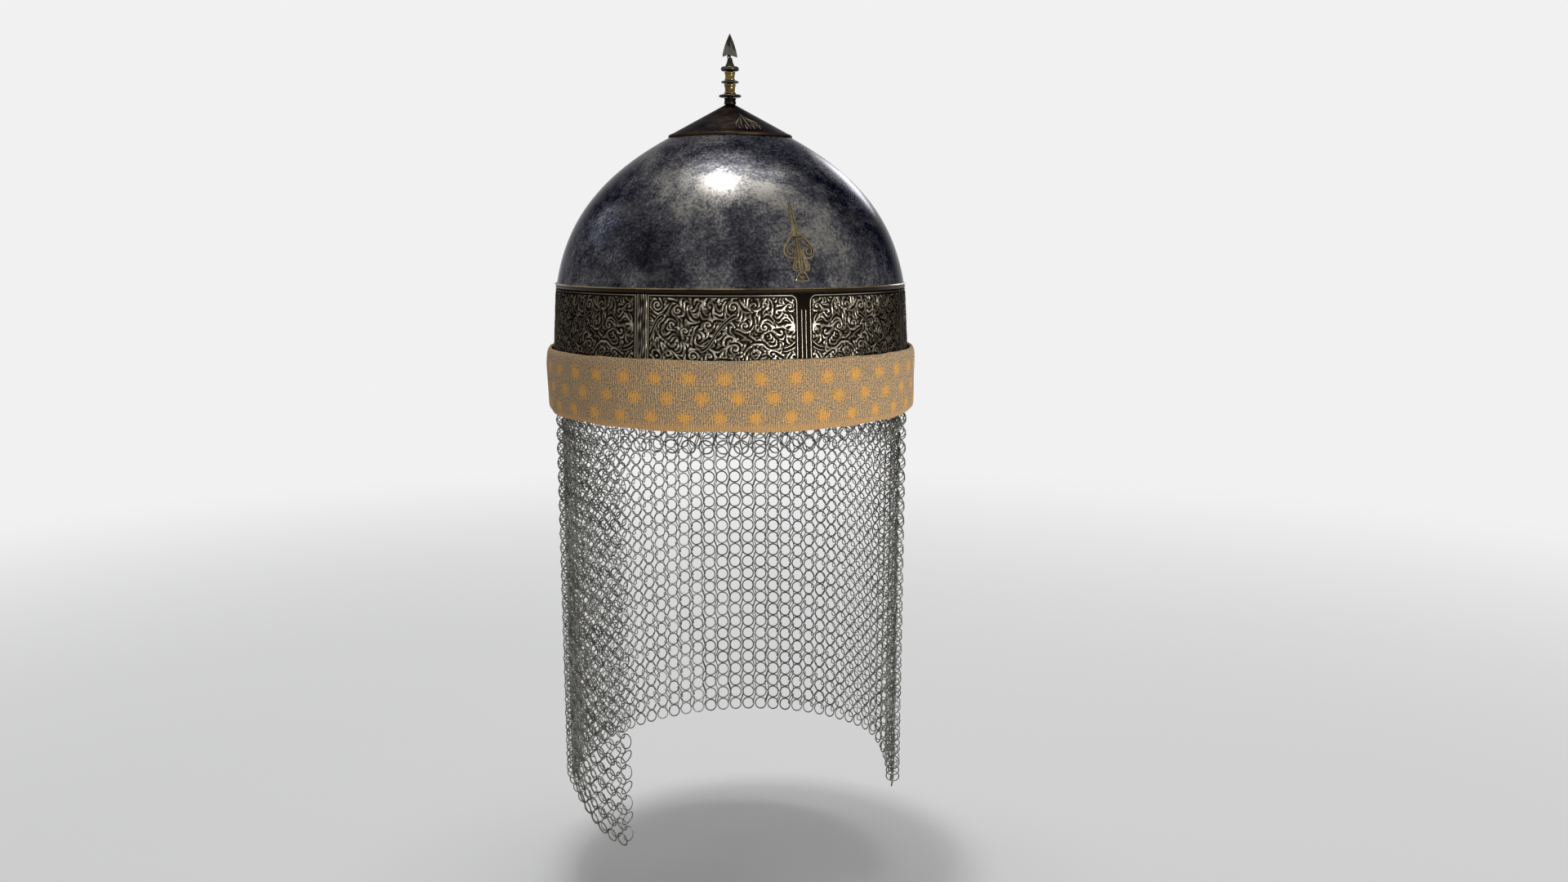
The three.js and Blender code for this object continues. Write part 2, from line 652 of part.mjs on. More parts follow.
function makeLining() {
  const outer = WALL + SEAT_GAP;
  const inner = outer + LINING_WALL;
  const cap = (inset) => point(LINING_FLAT_RADIUS, crownHeight(LINING_FLAT_RADIUS, inset));
  const outline = [
    ...bowlLine(outer, LINING_FOOT),
    cap(outer),
    point(0, cap(outer).y),
    point(0, cap(inner).y),
    cap(inner),
    ...bowlLine(inner, LINING_FOOT).reverse(),
  ];
  addPiece("lining", revolve(outline, LINING_STEPS), "liningCloth");
}

// Corner radius of a faceted ring whose flats just clear what reaches out to a radius
function clearOf(reach) {
  return (reach + SEAT_GAP) / Math.cos(Math.PI / ROUND_STEPS);
}

function makeClothRoll() {
  const relief = clearOf(HANGER_CENTRE_RADIUS + HANGER_HALF_WIDTH + HANGER_WIRE / 2);
  const rivetRelief = clearOf(BAND_SEAT_RADIUS + BAND_WALL + RIVET_HEAD);
  const bandFace = underBandRadius(ROLL_TOP - ROLL_ROUND / 2) + BAND_WALL + 2 * SEAT_GAP;
  const middle = (ROLL_TOP + ROLL_BOTTOM) / 2;
  const belly = (ROLL_TOP_RADIUS + ROLL_BOTTOM_RADIUS) / 2 + 2 * ROLL_BELLY;
  const shape = new THREE.Shape();
  shape.moveTo(relief, ROLL_BOTTOM + ROLL_ROUND / 2);
  shape.quadraticCurveTo(relief, ROLL_BOTTOM, (relief + ROLL_BOTTOM_RADIUS) / 2, ROLL_BOTTOM);
  shape.quadraticCurveTo(ROLL_BOTTOM_RADIUS, ROLL_BOTTOM, ROLL_BOTTOM_RADIUS, ROLL_BOTTOM + ROLL_ROUND);
  shape.quadraticCurveTo(belly, middle, ROLL_TOP_RADIUS, ROLL_TOP - ROLL_ROUND);
  shape.quadraticCurveTo(ROLL_TOP_RADIUS, ROLL_TOP, (bandFace + ROLL_TOP_RADIUS) / 2, ROLL_TOP);
  shape.lineTo(bandFace, ROLL_TOP - ROLL_ROUND / 2);
  shape.lineTo(rivetRelief, ROLL_TOP - ROLL_ROUND);
  shape.lineTo(rivetRelief, ROLL_SEAT_TOP + ROLL_ROUND);
  shape.lineTo(RIM_RADIUS + SEAT_GAP, ROLL_SEAT_TOP);
  shape.lineTo(RIM_RADIUS + SEAT_GAP, ROLL_SEAT_FOOT);
  shape.lineTo(relief, ROLL_SEAT_FOOT - ROLL_ROUND);
  addPiece("cloth_roll", revolve(shape.getPoints(ROLL_CURVE_STEPS), ROUND_STEPS), "printedCloth");
}

// Mail. A net is one sheet of six-sided rings: columns run round the helmet and rows run down it.
function hemHeight(angle) {
  const fromFront = Math.min(Math.abs(angle), 2 * Math.PI - Math.abs(angle));
  const pointed = 1 - smoothstep(fromFront, HEM_POINT_ANGLE, HEM_LEVEL_ANGLE);
  return -HEM_DROP - HEM_POINT_DROP * pointed + HEM_SWAY * Math.cos(angle - HEM_SWAY_ANGLE);
}

function makeNet(name, startAngle, endAngle, columns, rows, hemAt) {
  const corners = [];
  const faces = [];
  const columnAngle = (endAngle - startAngle) / columns;
  const ringHalfAngle = columnAngle / 2 - MAIL_WEB / 2 / MAIL_RADIUS;
  const inset = MAIL_WEB / 2;

  function corner(angle, row, drop, lean) {
    const hem = hemAt(angle);
    const height = lerp(MAIL_TOP, hem, row / rows) - drop;
    const taper = (MAIL_TAPER * (MAIL_TOP - height)) / HEM_DROP;
    corners.push([angle, height, MAIL_RADIUS - taper + lean * MAIL_SHINGLE]);
    return corners.length - 1;
  }

  // Six corners of a ring's eye, from its left corner round over the top
  const rings = [];
  for (let column = 0; column < columns; column++) {
    const middle = startAngle + columnAngle * (column + 0.5);
    const shoulder = ringHalfAngle * RING_SHOULDER_SHARE;
    const stack = [];
    for (let row = 0; row < rows; row++) {
      stack.push({
        left: corner(middle - ringHalfAngle, row + 0.5, 0, 0),
        topLeft: corner(middle - shoulder, row, inset, row === 0 ? 0 : -1),
        topRight: corner(middle + shoulder, row, inset, row === 0 ? 0 : -1),
        right: corner(middle + ringHalfAngle, row + 0.5, 0, 0),
        footRight: corner(middle + shoulder, row + 1, -inset, 1),
        footLeft: corner(middle - shoulder, row + 1, -inset, 1),
      });
    }
    const head = [-shoulder, shoulder].map((turn) => corner(middle + turn, 0, 0, 0));
    const hem = [-shoulder, shoulder].map((turn) => corner(middle + turn, rows, 0, 1));
    rings.push({ stack, head, hem });
  }

  // Fills an outline that is listed anticlockwise, as seen from outside the helmet
  function fill(first, ...others) {
    for (let next = 1; next < others.length; next++) {
      faces.push([first, others[next - 1], others[next]]);
    }
  }

  const last = rows - 1;
  const sides = [startAngle, endAngle].map((angle) => ({
    head: corner(angle, 0, 0, 0),
    middles: rings[0].stack.map((ring, row) => corner(angle, row + 0.5, 0, 0)),
    hem: corner(angle, rows, 0, 1),
  }));
  for (let column = 0; column < columns; column++) {
    const { stack, head, hem } = rings[column];
    fill(stack[0].topLeft, stack[0].topRight, head[1], head[0]);
    fill(hem[0], hem[1], stack[last].footRight, stack[last].footLeft);
    for (let row = 0; row < last; row++) {
      fill(stack[row + 1].topLeft, stack[row + 1].topRight, stack[row].footRight, stack[row].footLeft);
    }
    if (column === columns - 1) continue;
    const next = rings[column + 1];
    const below = next.stack;
    fill(stack[0].topRight, stack[0].right, below[0].left, below[0].topLeft, next.head[0], head[1]);
    const [foot, footBeside] = [stack[last], below[last]];
    fill(foot.right, foot.footRight, hem[1], next.hem[0], footBeside.footLeft, footBeside.left);
    for (let row = 0; row < last; row++) {
      fill(
        stack[row].right,
        stack[row].footRight,
        stack[row + 1].topRight,
        stack[row + 1].right,
        below[row + 1].left,
        below[row + 1].topLeft,
        below[row].footLeft,
        below[row].left,
      );
    }
  }
  const first = rings[0];
  const end = rings[columns - 1];
  fill(sides[0].head, sides[0].middles[0], first.stack[0].left, first.stack[0].topLeft, first.head[0]);
  fill(end.head[1], end.stack[0].topRight, end.stack[0].right, sides[1].middles[0], sides[1].head);
  const [startFoot, endFoot] = [first.stack[last], end.stack[last]];
  fill(sides[0].hem, first.hem[0], startFoot.footLeft, startFoot.left, sides[0].middles[last]);
  fill(end.hem[1], sides[1].hem, sides[1].middles[last], endFoot.right, endFoot.footRight);
  for (let row = 0; row < last; row++) {
    const [startSide, endSide] = sides.map((side) => side.middles.slice(row, row + 2));
    const [upper, lower] = first.stack.slice(row, row + 2);
    fill(startSide[1], lower.left, lower.topLeft, upper.footLeft, upper.left, startSide[0]);
    const [above, under] = end.stack.slice(row, row + 2);
    fill(above.right, above.footRight, under.topRight, under.right, endSide[1], endSide[0]);
  }
  addPiece(name, thicken(corners, faces), "mailSteel");
}

// Gives a sheet of (angle, height, radius) corners its thickness and closes every edge that it leaves open
function thicken(corners, faces) {
  const positions = [];
  for (const half of [MAIL_THICKNESS / 2, -MAIL_THICKNESS / 2]) {
    for (const [angle, height, radius] of corners) {
      const out = outward(angle).multiplyScalar(radius + half);
      positions.push(out.x, out.y, height);
    }
  }
  const inside = corners.length;
  const indices = [];
  const edges = new Map();
  for (const [a, b, c] of faces) {
    indices.push(a, b, c, a + inside, c + inside, b + inside);
    for (const edge of [[a, b], [b, c], [c, a]]) edges.set(edge.join(), edge);
  }
  for (const [from, to] of edges.values()) {
    if (edges.has([to, from].join())) continue;
    indices.push(to, from, from + inside, to, from + inside, to + inside);
  }
  const geometry = new THREE.BufferGeometry();
  geometry.setAttribute("position", new THREE.Float32BufferAttribute(positions, 3));
  geometry.setIndex(indices);
  return geometry;
}

function makeMail() {
  const gap = SEAT_GAP / 2 / MAIL_RADIUS;
  const dropNames = ["left", "nape", "right"];
  dropNames.forEach((side, drop) => {
    for (let strip = 0; strip < STRIPS_PER_DROP; strip++) {
      const start = OPENING_HALF_ANGLE + DROP_ANGLE * drop + STRIP_ANGLE * strip;
      const name = `mail_${side}_${strip + 1}`;
      makeNet(name, start + gap, start + STRIP_ANGLE - gap, COLUMNS_PER_STRIP, MAIL_ROWS, hemHeight);
    }
  });
  for (let strip = 0; strip < FRINGE_STRIPS; strip++) {
    const start = -OPENING_HALF_ANGLE + FRINGE_STRIP_ANGLE * strip;
    const name = `front_fringe_${strip + 1}`;
    makeNet(name, start + gap, start + FRINGE_STRIP_ANGLE - gap, FRINGE_COLUMNS, 1, () => FRINGE_HEM);
  }
}

// Hanger rings: long links through the rim's holes that carry the top bar of the mail
function makeHangers() {
  const barFoot = MAIL_TOP - MAIL_WEB / 2;
  const cornerOffset = HANGER_CENTRE_RADIUS - (MAIL_RADIUS - MAIL_THICKNESS / 2);
  const reach = HANGER_HALF_WIDTH * Math.cos(Math.PI / HANGER_STEPS) - HANGER_WIRE / 2 - SEAT_GAP;
  const lowerCentre = barFoot + Math.sqrt(reach * reach - cornerOffset * cornerOffset);
  const upperCentre = HANGER_TOP - HANGER_HALF_WIDTH;
  hangerAngles().forEach((angle, index) => {
    const link = new THREE.TorusGeometry(HANGER_HALF_WIDTH, HANGER_WIRE / 2, HANGER_SIDES, HANGER_STEPS);
    link.rotateZ(Math.PI / HANGER_STEPS);
    const corners = link.getAttribute("position");
    for (let i = 0; i < corners.count; i++) {
      corners.setY(i, corners.getY(i) + (corners.getY(i) > 0 ? upperCentre : lowerCentre));
    }
    link.rotateY(-Math.PI / 2);
    addPiece(`hanger_ring_${index + 1}`, faceOutward(link, angle, HANGER_CENTRE_RADIUS), "mailSteel");
  });
}

makeBowl();
makeCrownPlate();
makeBrowBand();
makeTopMoulding();
makeBandRivets();
makeFrontPalmette();
makeFinial();
makeLining();
makeClothRoll();
makeMail();
makeHangers();

export default helmet;
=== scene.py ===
# %% [markdown]
# A Mughal helmet, dressed for a picture.
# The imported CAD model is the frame: every solid has its final place and size there. Each visible
# piece gets a finer mesh that stands for its solid, and a material that is made from nodes.

import math
import random

import bmesh
import bpy
import numpy as np
from mathutils import Matrix, Vector


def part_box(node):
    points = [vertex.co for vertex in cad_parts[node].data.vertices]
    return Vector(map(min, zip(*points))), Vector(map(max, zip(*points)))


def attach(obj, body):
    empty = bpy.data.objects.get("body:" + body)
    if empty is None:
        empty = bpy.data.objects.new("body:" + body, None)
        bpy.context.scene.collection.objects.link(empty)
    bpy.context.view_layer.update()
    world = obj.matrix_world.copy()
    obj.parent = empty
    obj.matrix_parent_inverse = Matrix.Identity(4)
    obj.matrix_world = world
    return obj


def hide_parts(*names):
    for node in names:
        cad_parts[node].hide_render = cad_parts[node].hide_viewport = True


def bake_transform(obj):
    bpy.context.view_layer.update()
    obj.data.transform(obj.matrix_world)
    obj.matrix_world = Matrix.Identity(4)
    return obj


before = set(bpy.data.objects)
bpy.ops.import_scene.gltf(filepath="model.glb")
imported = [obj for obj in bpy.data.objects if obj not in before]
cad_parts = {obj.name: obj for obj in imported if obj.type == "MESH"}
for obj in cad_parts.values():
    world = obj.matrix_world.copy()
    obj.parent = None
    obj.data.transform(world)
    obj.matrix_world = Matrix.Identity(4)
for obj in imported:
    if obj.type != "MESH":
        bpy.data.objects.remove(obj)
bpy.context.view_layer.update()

# %% [markdown]
# The CAD model measures in millimetres from the centre of the bowl's rim, with the face opening
# towards -Y. The same few sizes are written here once, so that each new piece lands on its solid.

# %% Shared sizes
MM = 0.001
FULL_TURN = 2 * math.pi
QUARTER_TURN = math.pi / 2
SEAT_GAP = 0.3
WALL = 1.5
RIM_RADIUS = 105.8
BROW_RADIUS = 103.5
BROW_HEIGHT = 69
BAND_FOOT = 24.5
BAND_TOP = 68.2
SHOULDER = (37.5, 155.7)
CROWN_SLOPE = math.tan(math.radians(28.5))


def on_helmet(angle, radius, height):
    """Point at an angle round the helmet: 0 is the front, and the wearer's left is positive."""
    return Vector((math.sin(angle) * radius, -math.cos(angle) * radius, height)) * MM


def lerp(start, end, share):
    return start + (end - start) * share


def band_seat(height):
    """Radius of the bowl's face under the band."""
    return lerp(RIM_RADIUS, BROW_RADIUS, (height - BAND_FOOT) / (BROW_HEIGHT - BAND_FOOT))


def crown_height(radius):
    return SHOULDER[1] + (SHOULDER[0] - radius) * CROWN_SLOPE


print("rim", RIM_RADIUS, "crown", round(crown_height(0), 1))

# %% [markdown]
# Most of the metal is turned or raised, so its shape is one outline swept round the axis. A bmesh
# holds the outline as a few vertices and the spin operator sweeps it. Corners are then bevelled,
# because a worked metal edge is never perfectly sharp and a small round catches a line of light.

# %% Turning and bevelling
SHARP_ANGLE = math.radians(34)


def sweep(bm, steps, seam):
    """Spins a whole bmesh round the Z axis, closes its seam and turns its faces outwards."""
    bmesh.ops.spin(
        bm,
        geom=bm.verts[:] + bm.edges[:],
        cent=(0, 0, 0),
        axis=(0, 0, 1),
        angle=FULL_TURN,
        steps=steps,
        use_merge=True,
    )
    bmesh.ops.remove_doubles(bm, verts=bm.verts, dist=seam)
    bmesh.ops.recalc_face_normals(bm, faces=bm.faces)
    return bm


def turn(outline, steps):
    """A closed outline of (radius, height) points in millimetres, spun round the axis."""
    bm = bmesh.new()
    corners = [bm.verts.new((radius * MM, 0, height * MM)) for radius, height in outline]
    for pair in zip(corners, corners[1:] + corners[:1]):
        bm.edges.new(pair)
    return sweep(bm, steps, 1e-6)


def round_corners(bm, width, angle=SHARP_ANGLE):
    """Bevels every edge whose faces meet at more than an angle. The width is in millimetres."""
    sharp = [edge for edge in bm.edges if edge.is_manifold and edge.calc_face_angle(0) > angle]
    bmesh.ops.bevel(
        bm,
        geom=sharp,
        offset=width * MM,
        offset_type="OFFSET",
        segments=2,
        profile=0.5,
        affect="EDGES",
        clamp_overlap=True,
        material=-1,
    )


# %% From a bmesh to a finished piece
def add_mesh(name, bm, smooth=True):
    """A mesh made from a bmesh, which is freed."""
    for face in bm.faces:
        face.smooth = smooth
    mesh = bpy.data.meshes.new(name)
    bm.to_mesh(mesh)
    bm.free()
    return mesh


def add_object(name, data):
    made = bpy.data.objects.new(name, data)
    bpy.context.scene.collection.objects.link(made)
    return made


def settle(piece, material, nodes=(), body="helmet"):
    """Gives a piece its finish, the body that it rides on and the CAD nodes that it stands for."""
    piece.data.materials.clear()
    piece.data.materials.append(material)
    if body:
        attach(piece, body)
    if nodes:
        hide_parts(*nodes)
    print(piece.name, len(piece.data.polygons), "faces")
    return piece


def finish_piece(name, bm, material, nodes=()):
    """A smooth piece of the helmet whose clear corners stay sharp."""
    for edge in bm.edges:
        edge.smooth = edge.calc_face_angle(0) < SHARP_ANGLE
    return settle(add_object(name, add_mesh(name, bm)), material, nodes)


def apply_modifiers(piece):
    """Makes a piece's modifiers part of its mesh."""
    bpy.context.view_layer.update()
    graph = bpy.context.evaluated_depsgraph_get()
    done = bpy.data.meshes.new_from_object(piece.evaluated_get(graph))
    old = piece.data
    piece.modifiers.clear()
    piece.data = done
    bpy.data.meshes.remove(old)


# %% [markdown]
# Materials are built from nodes. A small class stands for any node's output, so that a sum in the
# script reads as a sum and adds the Math nodes that work it out. Two effects are used by more than
# one material, so each is a node group: clouds of tarnish with a fine speckle, and grime that
# gathers where the surface is hollow.

# %% Values and nodes
class Value:
    """An output of a node. Arithmetic on it adds Math nodes to its tree."""

    def __init__(self, socket):
        self.socket = socket
        self.tree = socket.id_data

    def __add__(self, other):
        return calculate("ADD", self, other)

    def __sub__(self, other):
        return calculate("SUBTRACT", self, other)

    def __rsub__(self, other):
        return calculate("SUBTRACT", other, self)

    def __mul__(self, other):
        return calculate("MULTIPLY", self, other)

    def __truediv__(self, other):
        return calculate("DIVIDE", self, other)


def feed(socket, value):
    """Links a value to a socket, or sets a plain number or colour on it."""
    if isinstance(value, Value):
        socket.id_data.links.new(value.socket, socket)
    else:
        socket.default_value = value


def add_node(tree, kind, values=None, **settings):
    node = tree.nodes.new("ShaderNode" + kind)
    for name, value in settings.items():
        setattr(node, name, value)
    for name, value in (values or {}).items():
        feed(node.inputs[name], value)
    return node


def node_value(tree, kind, result, values=None, **settings):
    return Value(add_node(tree, kind, values, **settings).outputs[result])


def calculate(operation, first, second=0.0, clamp=False):
    tree = first.tree if isinstance(first, Value) else second.tree
    return node_value(tree, "Math", 0, {0: first, 1: second}, operation=operation, use_clamp=clamp)


def vector_math(operation, first, second=(0, 0, 0), result="Vector"):
    return node_value(first.tree, "VectorMath", result, {0: first, 1: second}, operation=operation)


# %% Colours, noise and bumps
def ramp(factor, *stops):
    """A colour ramp. Each stop is (place, colour), and a colour may be one grey value."""
    node = add_node(factor.tree, "ValToRGB", {"Fac": factor})
    elements = node.color_ramp.elements
    while len(elements) < len(stops):
        elements.new(0.5)
    for element, (place, colour) in zip(elements, stops):
        element.position = place
        element.color = (*(colour if isinstance(colour, tuple) else (colour,) * 3), 1)
    return Value(node.outputs["Color"])


def mix(factor, first, second, blend="MIX"):
    """The second colour over the first. A plain colour is given by its three channels."""
    tree = next(value.tree for value in (factor, first, second) if isinstance(value, Value))
    first, second = (colour if isinstance(colour, Value) else (*colour, 1) for colour in (first, second))
    values = {0: factor, 6: first, 7: second}
    return node_value(tree, "Mix", 2, values, data_type="RGBA", blend_type=blend)


def noise_value(vector, scale, detail=4.0, roughness=0.55, distortion=0.0):
    values = {"Vector": vector, "Scale": scale, "Detail": detail}
    values |= {"Roughness": roughness, "Distortion": distortion}
    return node_value(vector.tree, "TexNoise", "Fac", values)


def object_place(tree):
    return node_value(tree, "TexCoord", "Object")


def attribute(tree, name):
    return node_value(tree, "Attribute", "Fac", attribute_name=name)


def bump(height, strength, distance, normal=None):
    """A bump whose distance is in millimetres."""
    values = {"Height": height, "Strength": strength, "Distance": distance * MM}
    if normal is not None:
        values["Normal"] = normal
    return node_value(height.tree, "Bump", "Normal", values)


# %% Groups and materials
def new_group(name, inputs, outputs):
    """A node group, with its inputs as values and the sockets that take its results."""
    group = bpy.data.node_groups.new(name, "ShaderNodeTree")
    for socket, kind, value in inputs:
        made = group.interface.new_socket(socket, in_out="INPUT", socket_type=kind)
        if value is not None:
            made.default_value = value
    for socket, kind in outputs:
        group.interface.new_socket(socket, in_out="OUTPUT", socket_type=kind)
    names = [socket[0] for socket in inputs]
    sockets = group.nodes.new("NodeGroupInput").outputs
    given = {name: Value(socket) for name, socket in zip(names, sockets)}
    return group, given, group.nodes.new("NodeGroupOutput").inputs


def use_group(tree, group, **values):
    """Places a group in a tree. Its results come back by name."""
    node = add_node(tree, "Group", node_tree=group)
    for name, value in values.items():
        feed(node.inputs[name.replace("_", " ")], value)
    return {socket.name: Value(socket) for socket in node.outputs}


def new_material(name, **plain):
    """A material with one Principled shader. Plain settings sit on the shader's own sockets."""
    material = bpy.data.materials.new(name)
    material.use_nodes = True
    shader = material.node_tree.nodes["Principled BSDF"]
    for socket, value in plain.items():
        feed(shader.inputs[socket.replace("_", " ")], value)
    return material, material.node_tree, shader


# %% Tarnish group
tarnish, given, results = new_group(
    "tarnish clouds",
    [
        ("Vector", "NodeSocketVector", None),
        ("Cloud Scale", "NodeSocketFloat", 18.0),
        ("Speckle Scale", "NodeSocketFloat", 900.0),
        ("Seed", "NodeSocketFloat", 0.0),
    ],
    [("Clouds", "NodeSocketFloat"), ("Speckle", "NodeSocketFloat"), ("Streaks", "NodeSocketFloat")],
)
shifted = vector_math("ADD", given["Vector"], given["Seed"])
stretched = vector_math("MULTIPLY", shifted, (1.0, 1.0, 3.4))
feed(results["Clouds"], noise_value(shifted, given["Cloud Scale"], 9.0, 0.68, 0.35))
feed(results["Speckle"], noise_value(shifted, given["Speckle Scale"], 3.0, 0.7))
feed(results["Streaks"], noise_value(stretched, given["Cloud Scale"], 7.0, 0.72, 0.8))
print("group", tarnish.name)

# %% Grime group
grime, given, results = new_group(
    "grime in hollows",
    [
        ("Colour", "NodeSocketColor", (0.5, 0.5, 0.5, 1)),
        ("Grime", "NodeSocketColor", (0.03, 0.02, 0.01, 1)),
        ("Amount", "NodeSocketFloat", 0.8),
        ("Wear", "NodeSocketColor", (0.8, 0.78, 0.7, 1)),
        ("Wear Amount", "NodeSocketFloat", 0.5),
    ],
    [("Colour", "NodeSocketColor")],
)
pointed = node_value(grime, "NewGeometry", "Pointiness")
hollow_share = calculate("MULTIPLY", ramp(pointed, (0.42, 1.0), (0.5, 0.0)), given["Amount"], clamp=True)
worn_share = calculate("MULTIPLY", ramp(pointed, (0.5, 0.0), (0.62, 1.0)), given["Wear Amount"], clamp=True)
dirty = mix(hollow_share, given["Colour"], given["Grime"])
feed(results["Colour"], mix(worn_share, dirty, given["Wear"]))
print("group", grime.name)


def age(colour, dirt, wear, wear_amount, amount=0.8):
    """A colour with grime in its hollows and wear on its ridges."""
    values = {"Colour": colour, "Grime": (*dirt, 1), "Wear": (*wear, 1)}
    return use_group(colour.tree, grime, **values, Amount=amount, Wear_Amount=wear_amount)["Colour"]


# %% [markdown]
# Every metal is made the same way: marks of tarnish at its own scale, and a look that turns them
# into colour, gloss and a fine bump. The bowl is dark blued steel. Handling and old polish have left
# it clouded: blue-black where the bluing holds, grey and tan where it has worn away, with a fine
# salt-and-pepper speckle all over. Two noises of different size choose between four colours, and
# the same noises vary the gloss. Dark metal shines too brightly where it is seen edge-on, so a grey
# tint holds that edge down.

# %% Blued steel
EDGE_TINT = (0.42, 0.42, 0.44, 1)


def make_metal(name, look, cloud_scale, speckle_scale, seed=0.0, **plain):
    """A metal. look(place, marks) gives its colour, its roughness and its normal."""
    material, tree, shader = new_material(name, Metallic=1.0, **plain)
    place = object_place(tree)
    marks = use_group(
        tree, tarnish, Vector=place, Cloud_Scale=cloud_scale, Speckle_Scale=speckle_scale, Seed=seed
    )
    for socket, value in zip(("Base Color", "Roughness", "Normal"), look(place, marks)):
        feed(shader.inputs[socket], value)
    print("metal", name)
    return material


def blued_look(place, marks):
    patchy = marks["Clouds"] + marks["Speckle"] * 0.42
    base = ramp(
        patchy,
        (0.58, (0.007, 0.007, 0.009)),
        (0.66, (0.022, 0.0225, 0.028)),
        (0.74, (0.060, 0.060, 0.068)),
        (0.86, (0.200, 0.190, 0.172)),
    )
    worn = ramp(marks["Streaks"], (0.53, 0.0), (0.75, 0.5))
    speckled = mix(marks["Speckle"], (0.045, 0.045, 0.050), (0.185, 0.174, 0.156))
    hammered = noise_value(place, 60.0, detail=2.0)
    normal = bump(hammered, 0.12, 0.5, bump(marks["Speckle"], 0.07, 0.06))
    return mix(worn, base, speckled), ramp(patchy, (0.6, 0.18), (0.85, 0.29)), normal


blued_steel = make_metal("blued_steel", blued_look, 15.0, 640.0, Specular_Tint=EDGE_TINT)

# %% [markdown]
# The bowl itself is one raised shell. Its outline is the CAD outline again, with the six straight
# runs of the dome replaced by the smooth curve that they approximate.

# %% Bowl
BROW_STEP = (0.7, 2.5)
BROW_LEAN = math.radians(9.9)
BROW_PULL = 0.316
SHOULDER_PULL = 0.453
DOME_POINTS = 26
BORE_RADIUS = 2.1
CROWN_RINGS = (24, 12)
ROUND_STEPS = 144


def dome_curve():
    """The dome's outer curve from the brow to the shoulder, with its inward normal at each point."""
    slope = math.atan(CROWN_SLOPE)
    start = Vector((BROW_RADIUS + BROW_STEP[0], BROW_HEIGHT + BROW_STEP[1]))
    end = Vector(SHOULDER)
    chord = (end - start).length
    pull = start + Vector((-math.sin(BROW_LEAN), math.cos(BROW_LEAN))) * chord * BROW_PULL
    shoulder_pull = end + Vector((math.cos(slope), -math.sin(slope))) * chord * SHOULDER_PULL
    places = []
    for step in range(DOME_POINTS + 1):
        t = step / DOME_POINTS
        u = 1 - t
        place = start * u**3 + pull * 3 * u * u * t + shoulder_pull * 3 * u * t * t + end * t**3
        along = (pull - start) * u * u + (shoulder_pull - pull) * 2 * u * t + (end - shoulder_pull) * t * t
        along.normalize()
        places.append((place, Vector((-along.y, along.x))))
    return places


dome = dome_curve()


def bowl_line(inset, foot, crown_radius):
    """The bowl's outline set in from its outer face, from a foot up to a radius on the crown."""
    line = [(RIM_RADIUS - inset, foot), (RIM_RADIUS - inset, BAND_FOOT), (BROW_RADIUS - inset, BROW_HEIGHT)]
    line.append((BROW_RADIUS + 0.82 - inset, BROW_HEIGHT + 1.8))
    line += [tuple(place + normal * inset) for place, normal in dome]
    flat = inset * math.sqrt(1 + CROWN_SLOPE**2)
    return line + [(radius, crown_height(radius) - flat) for radius in (*CROWN_RINGS, crown_radius)]


def dome_radius(height):
    """Outer radius of the bowl at a height above the brow."""
    return float(np.interp(height, [place.y for place, normal in dome], [place.x for place, normal in dome]))


shell = turn(bowl_line(0, 0, BORE_RADIUS) + bowl_line(WALL, 0, BORE_RADIUS)[::-1], ROUND_STEPS)
round_corners(shell, 0.35)
bowl = finish_piece("steel_bowl", shell, blued_steel, nodes=["bowl"])

# %% [markdown]
# A row of small holes runs round the rim: the mail hangs from rings that pass through them. They
# are drilled with one Boolean, whose cutter is all the pins together in a single mesh.

# %% Rim holes
OPENING_HALF_ANGLE = math.radians(59.3)
CURTAIN_COLUMNS = 48
FRINGE_COLUMNS = 22
COLUMN_ANGLE = 2 * (math.pi - OPENING_HALF_ANGLE) / CURTAIN_COLUMNS
FRINGE_COLUMN_ANGLE = 2 * OPENING_HALF_ANGLE / FRINGE_COLUMNS
HANGER_TOP = 3.5
HOLE_RADIUS = 1.3
PIN_LENGTH = 6
curtain_angles = [OPENING_HALF_ANGLE + COLUMN_ANGLE * (column + 0.5) for column in range(CURTAIN_COLUMNS)]
fringe_angles = [
    -OPENING_HALF_ANGLE + FRINGE_COLUMN_ANGLE * (column + 0.5) for column in range(FRINGE_COLUMNS)
]


def rotation(angle, axis):
    return Matrix.Rotation(angle, 4, axis)


def drill_rim(piece):
    bm = bmesh.new()
    for angle in curtain_angles + fringe_angles:
        turned_out = rotation(angle, "Z") @ rotation(QUARTER_TURN, "X")
        bmesh.ops.create_cone(
            bm,
            cap_ends=True,
            segments=12,
            radius1=HOLE_RADIUS * MM,
            radius2=HOLE_RADIUS * MM,
            depth=PIN_LENGTH * MM,
            matrix=Matrix.Translation(on_helmet(angle, RIM_RADIUS - WALL / 2, HANGER_TOP)) @ turned_out,
        )
    pins = add_object("rim pins", add_mesh("rim pins", bm, smooth=False))
    cut = piece.modifiers.new("rim holes", "BOOLEAN")
    cut.object = pins
    cut.solver = "EXACT"
    apply_modifiers(piece)
    bpy.data.meshes.remove(pins.data)
    print("drilled", piece.name, len(piece.data.polygons), "faces")


drill_rim(bowl)

# %% [markdown]
# The crown plate is a shallow cone of dark bronze that caps the bowl. A thin gilt line runs round
# its beaded edge, and a spray of engraved leaves, once gilt, stands on its front. The line is a
# slim turned ring of its own, so that it stays crisp where the plate turns down.

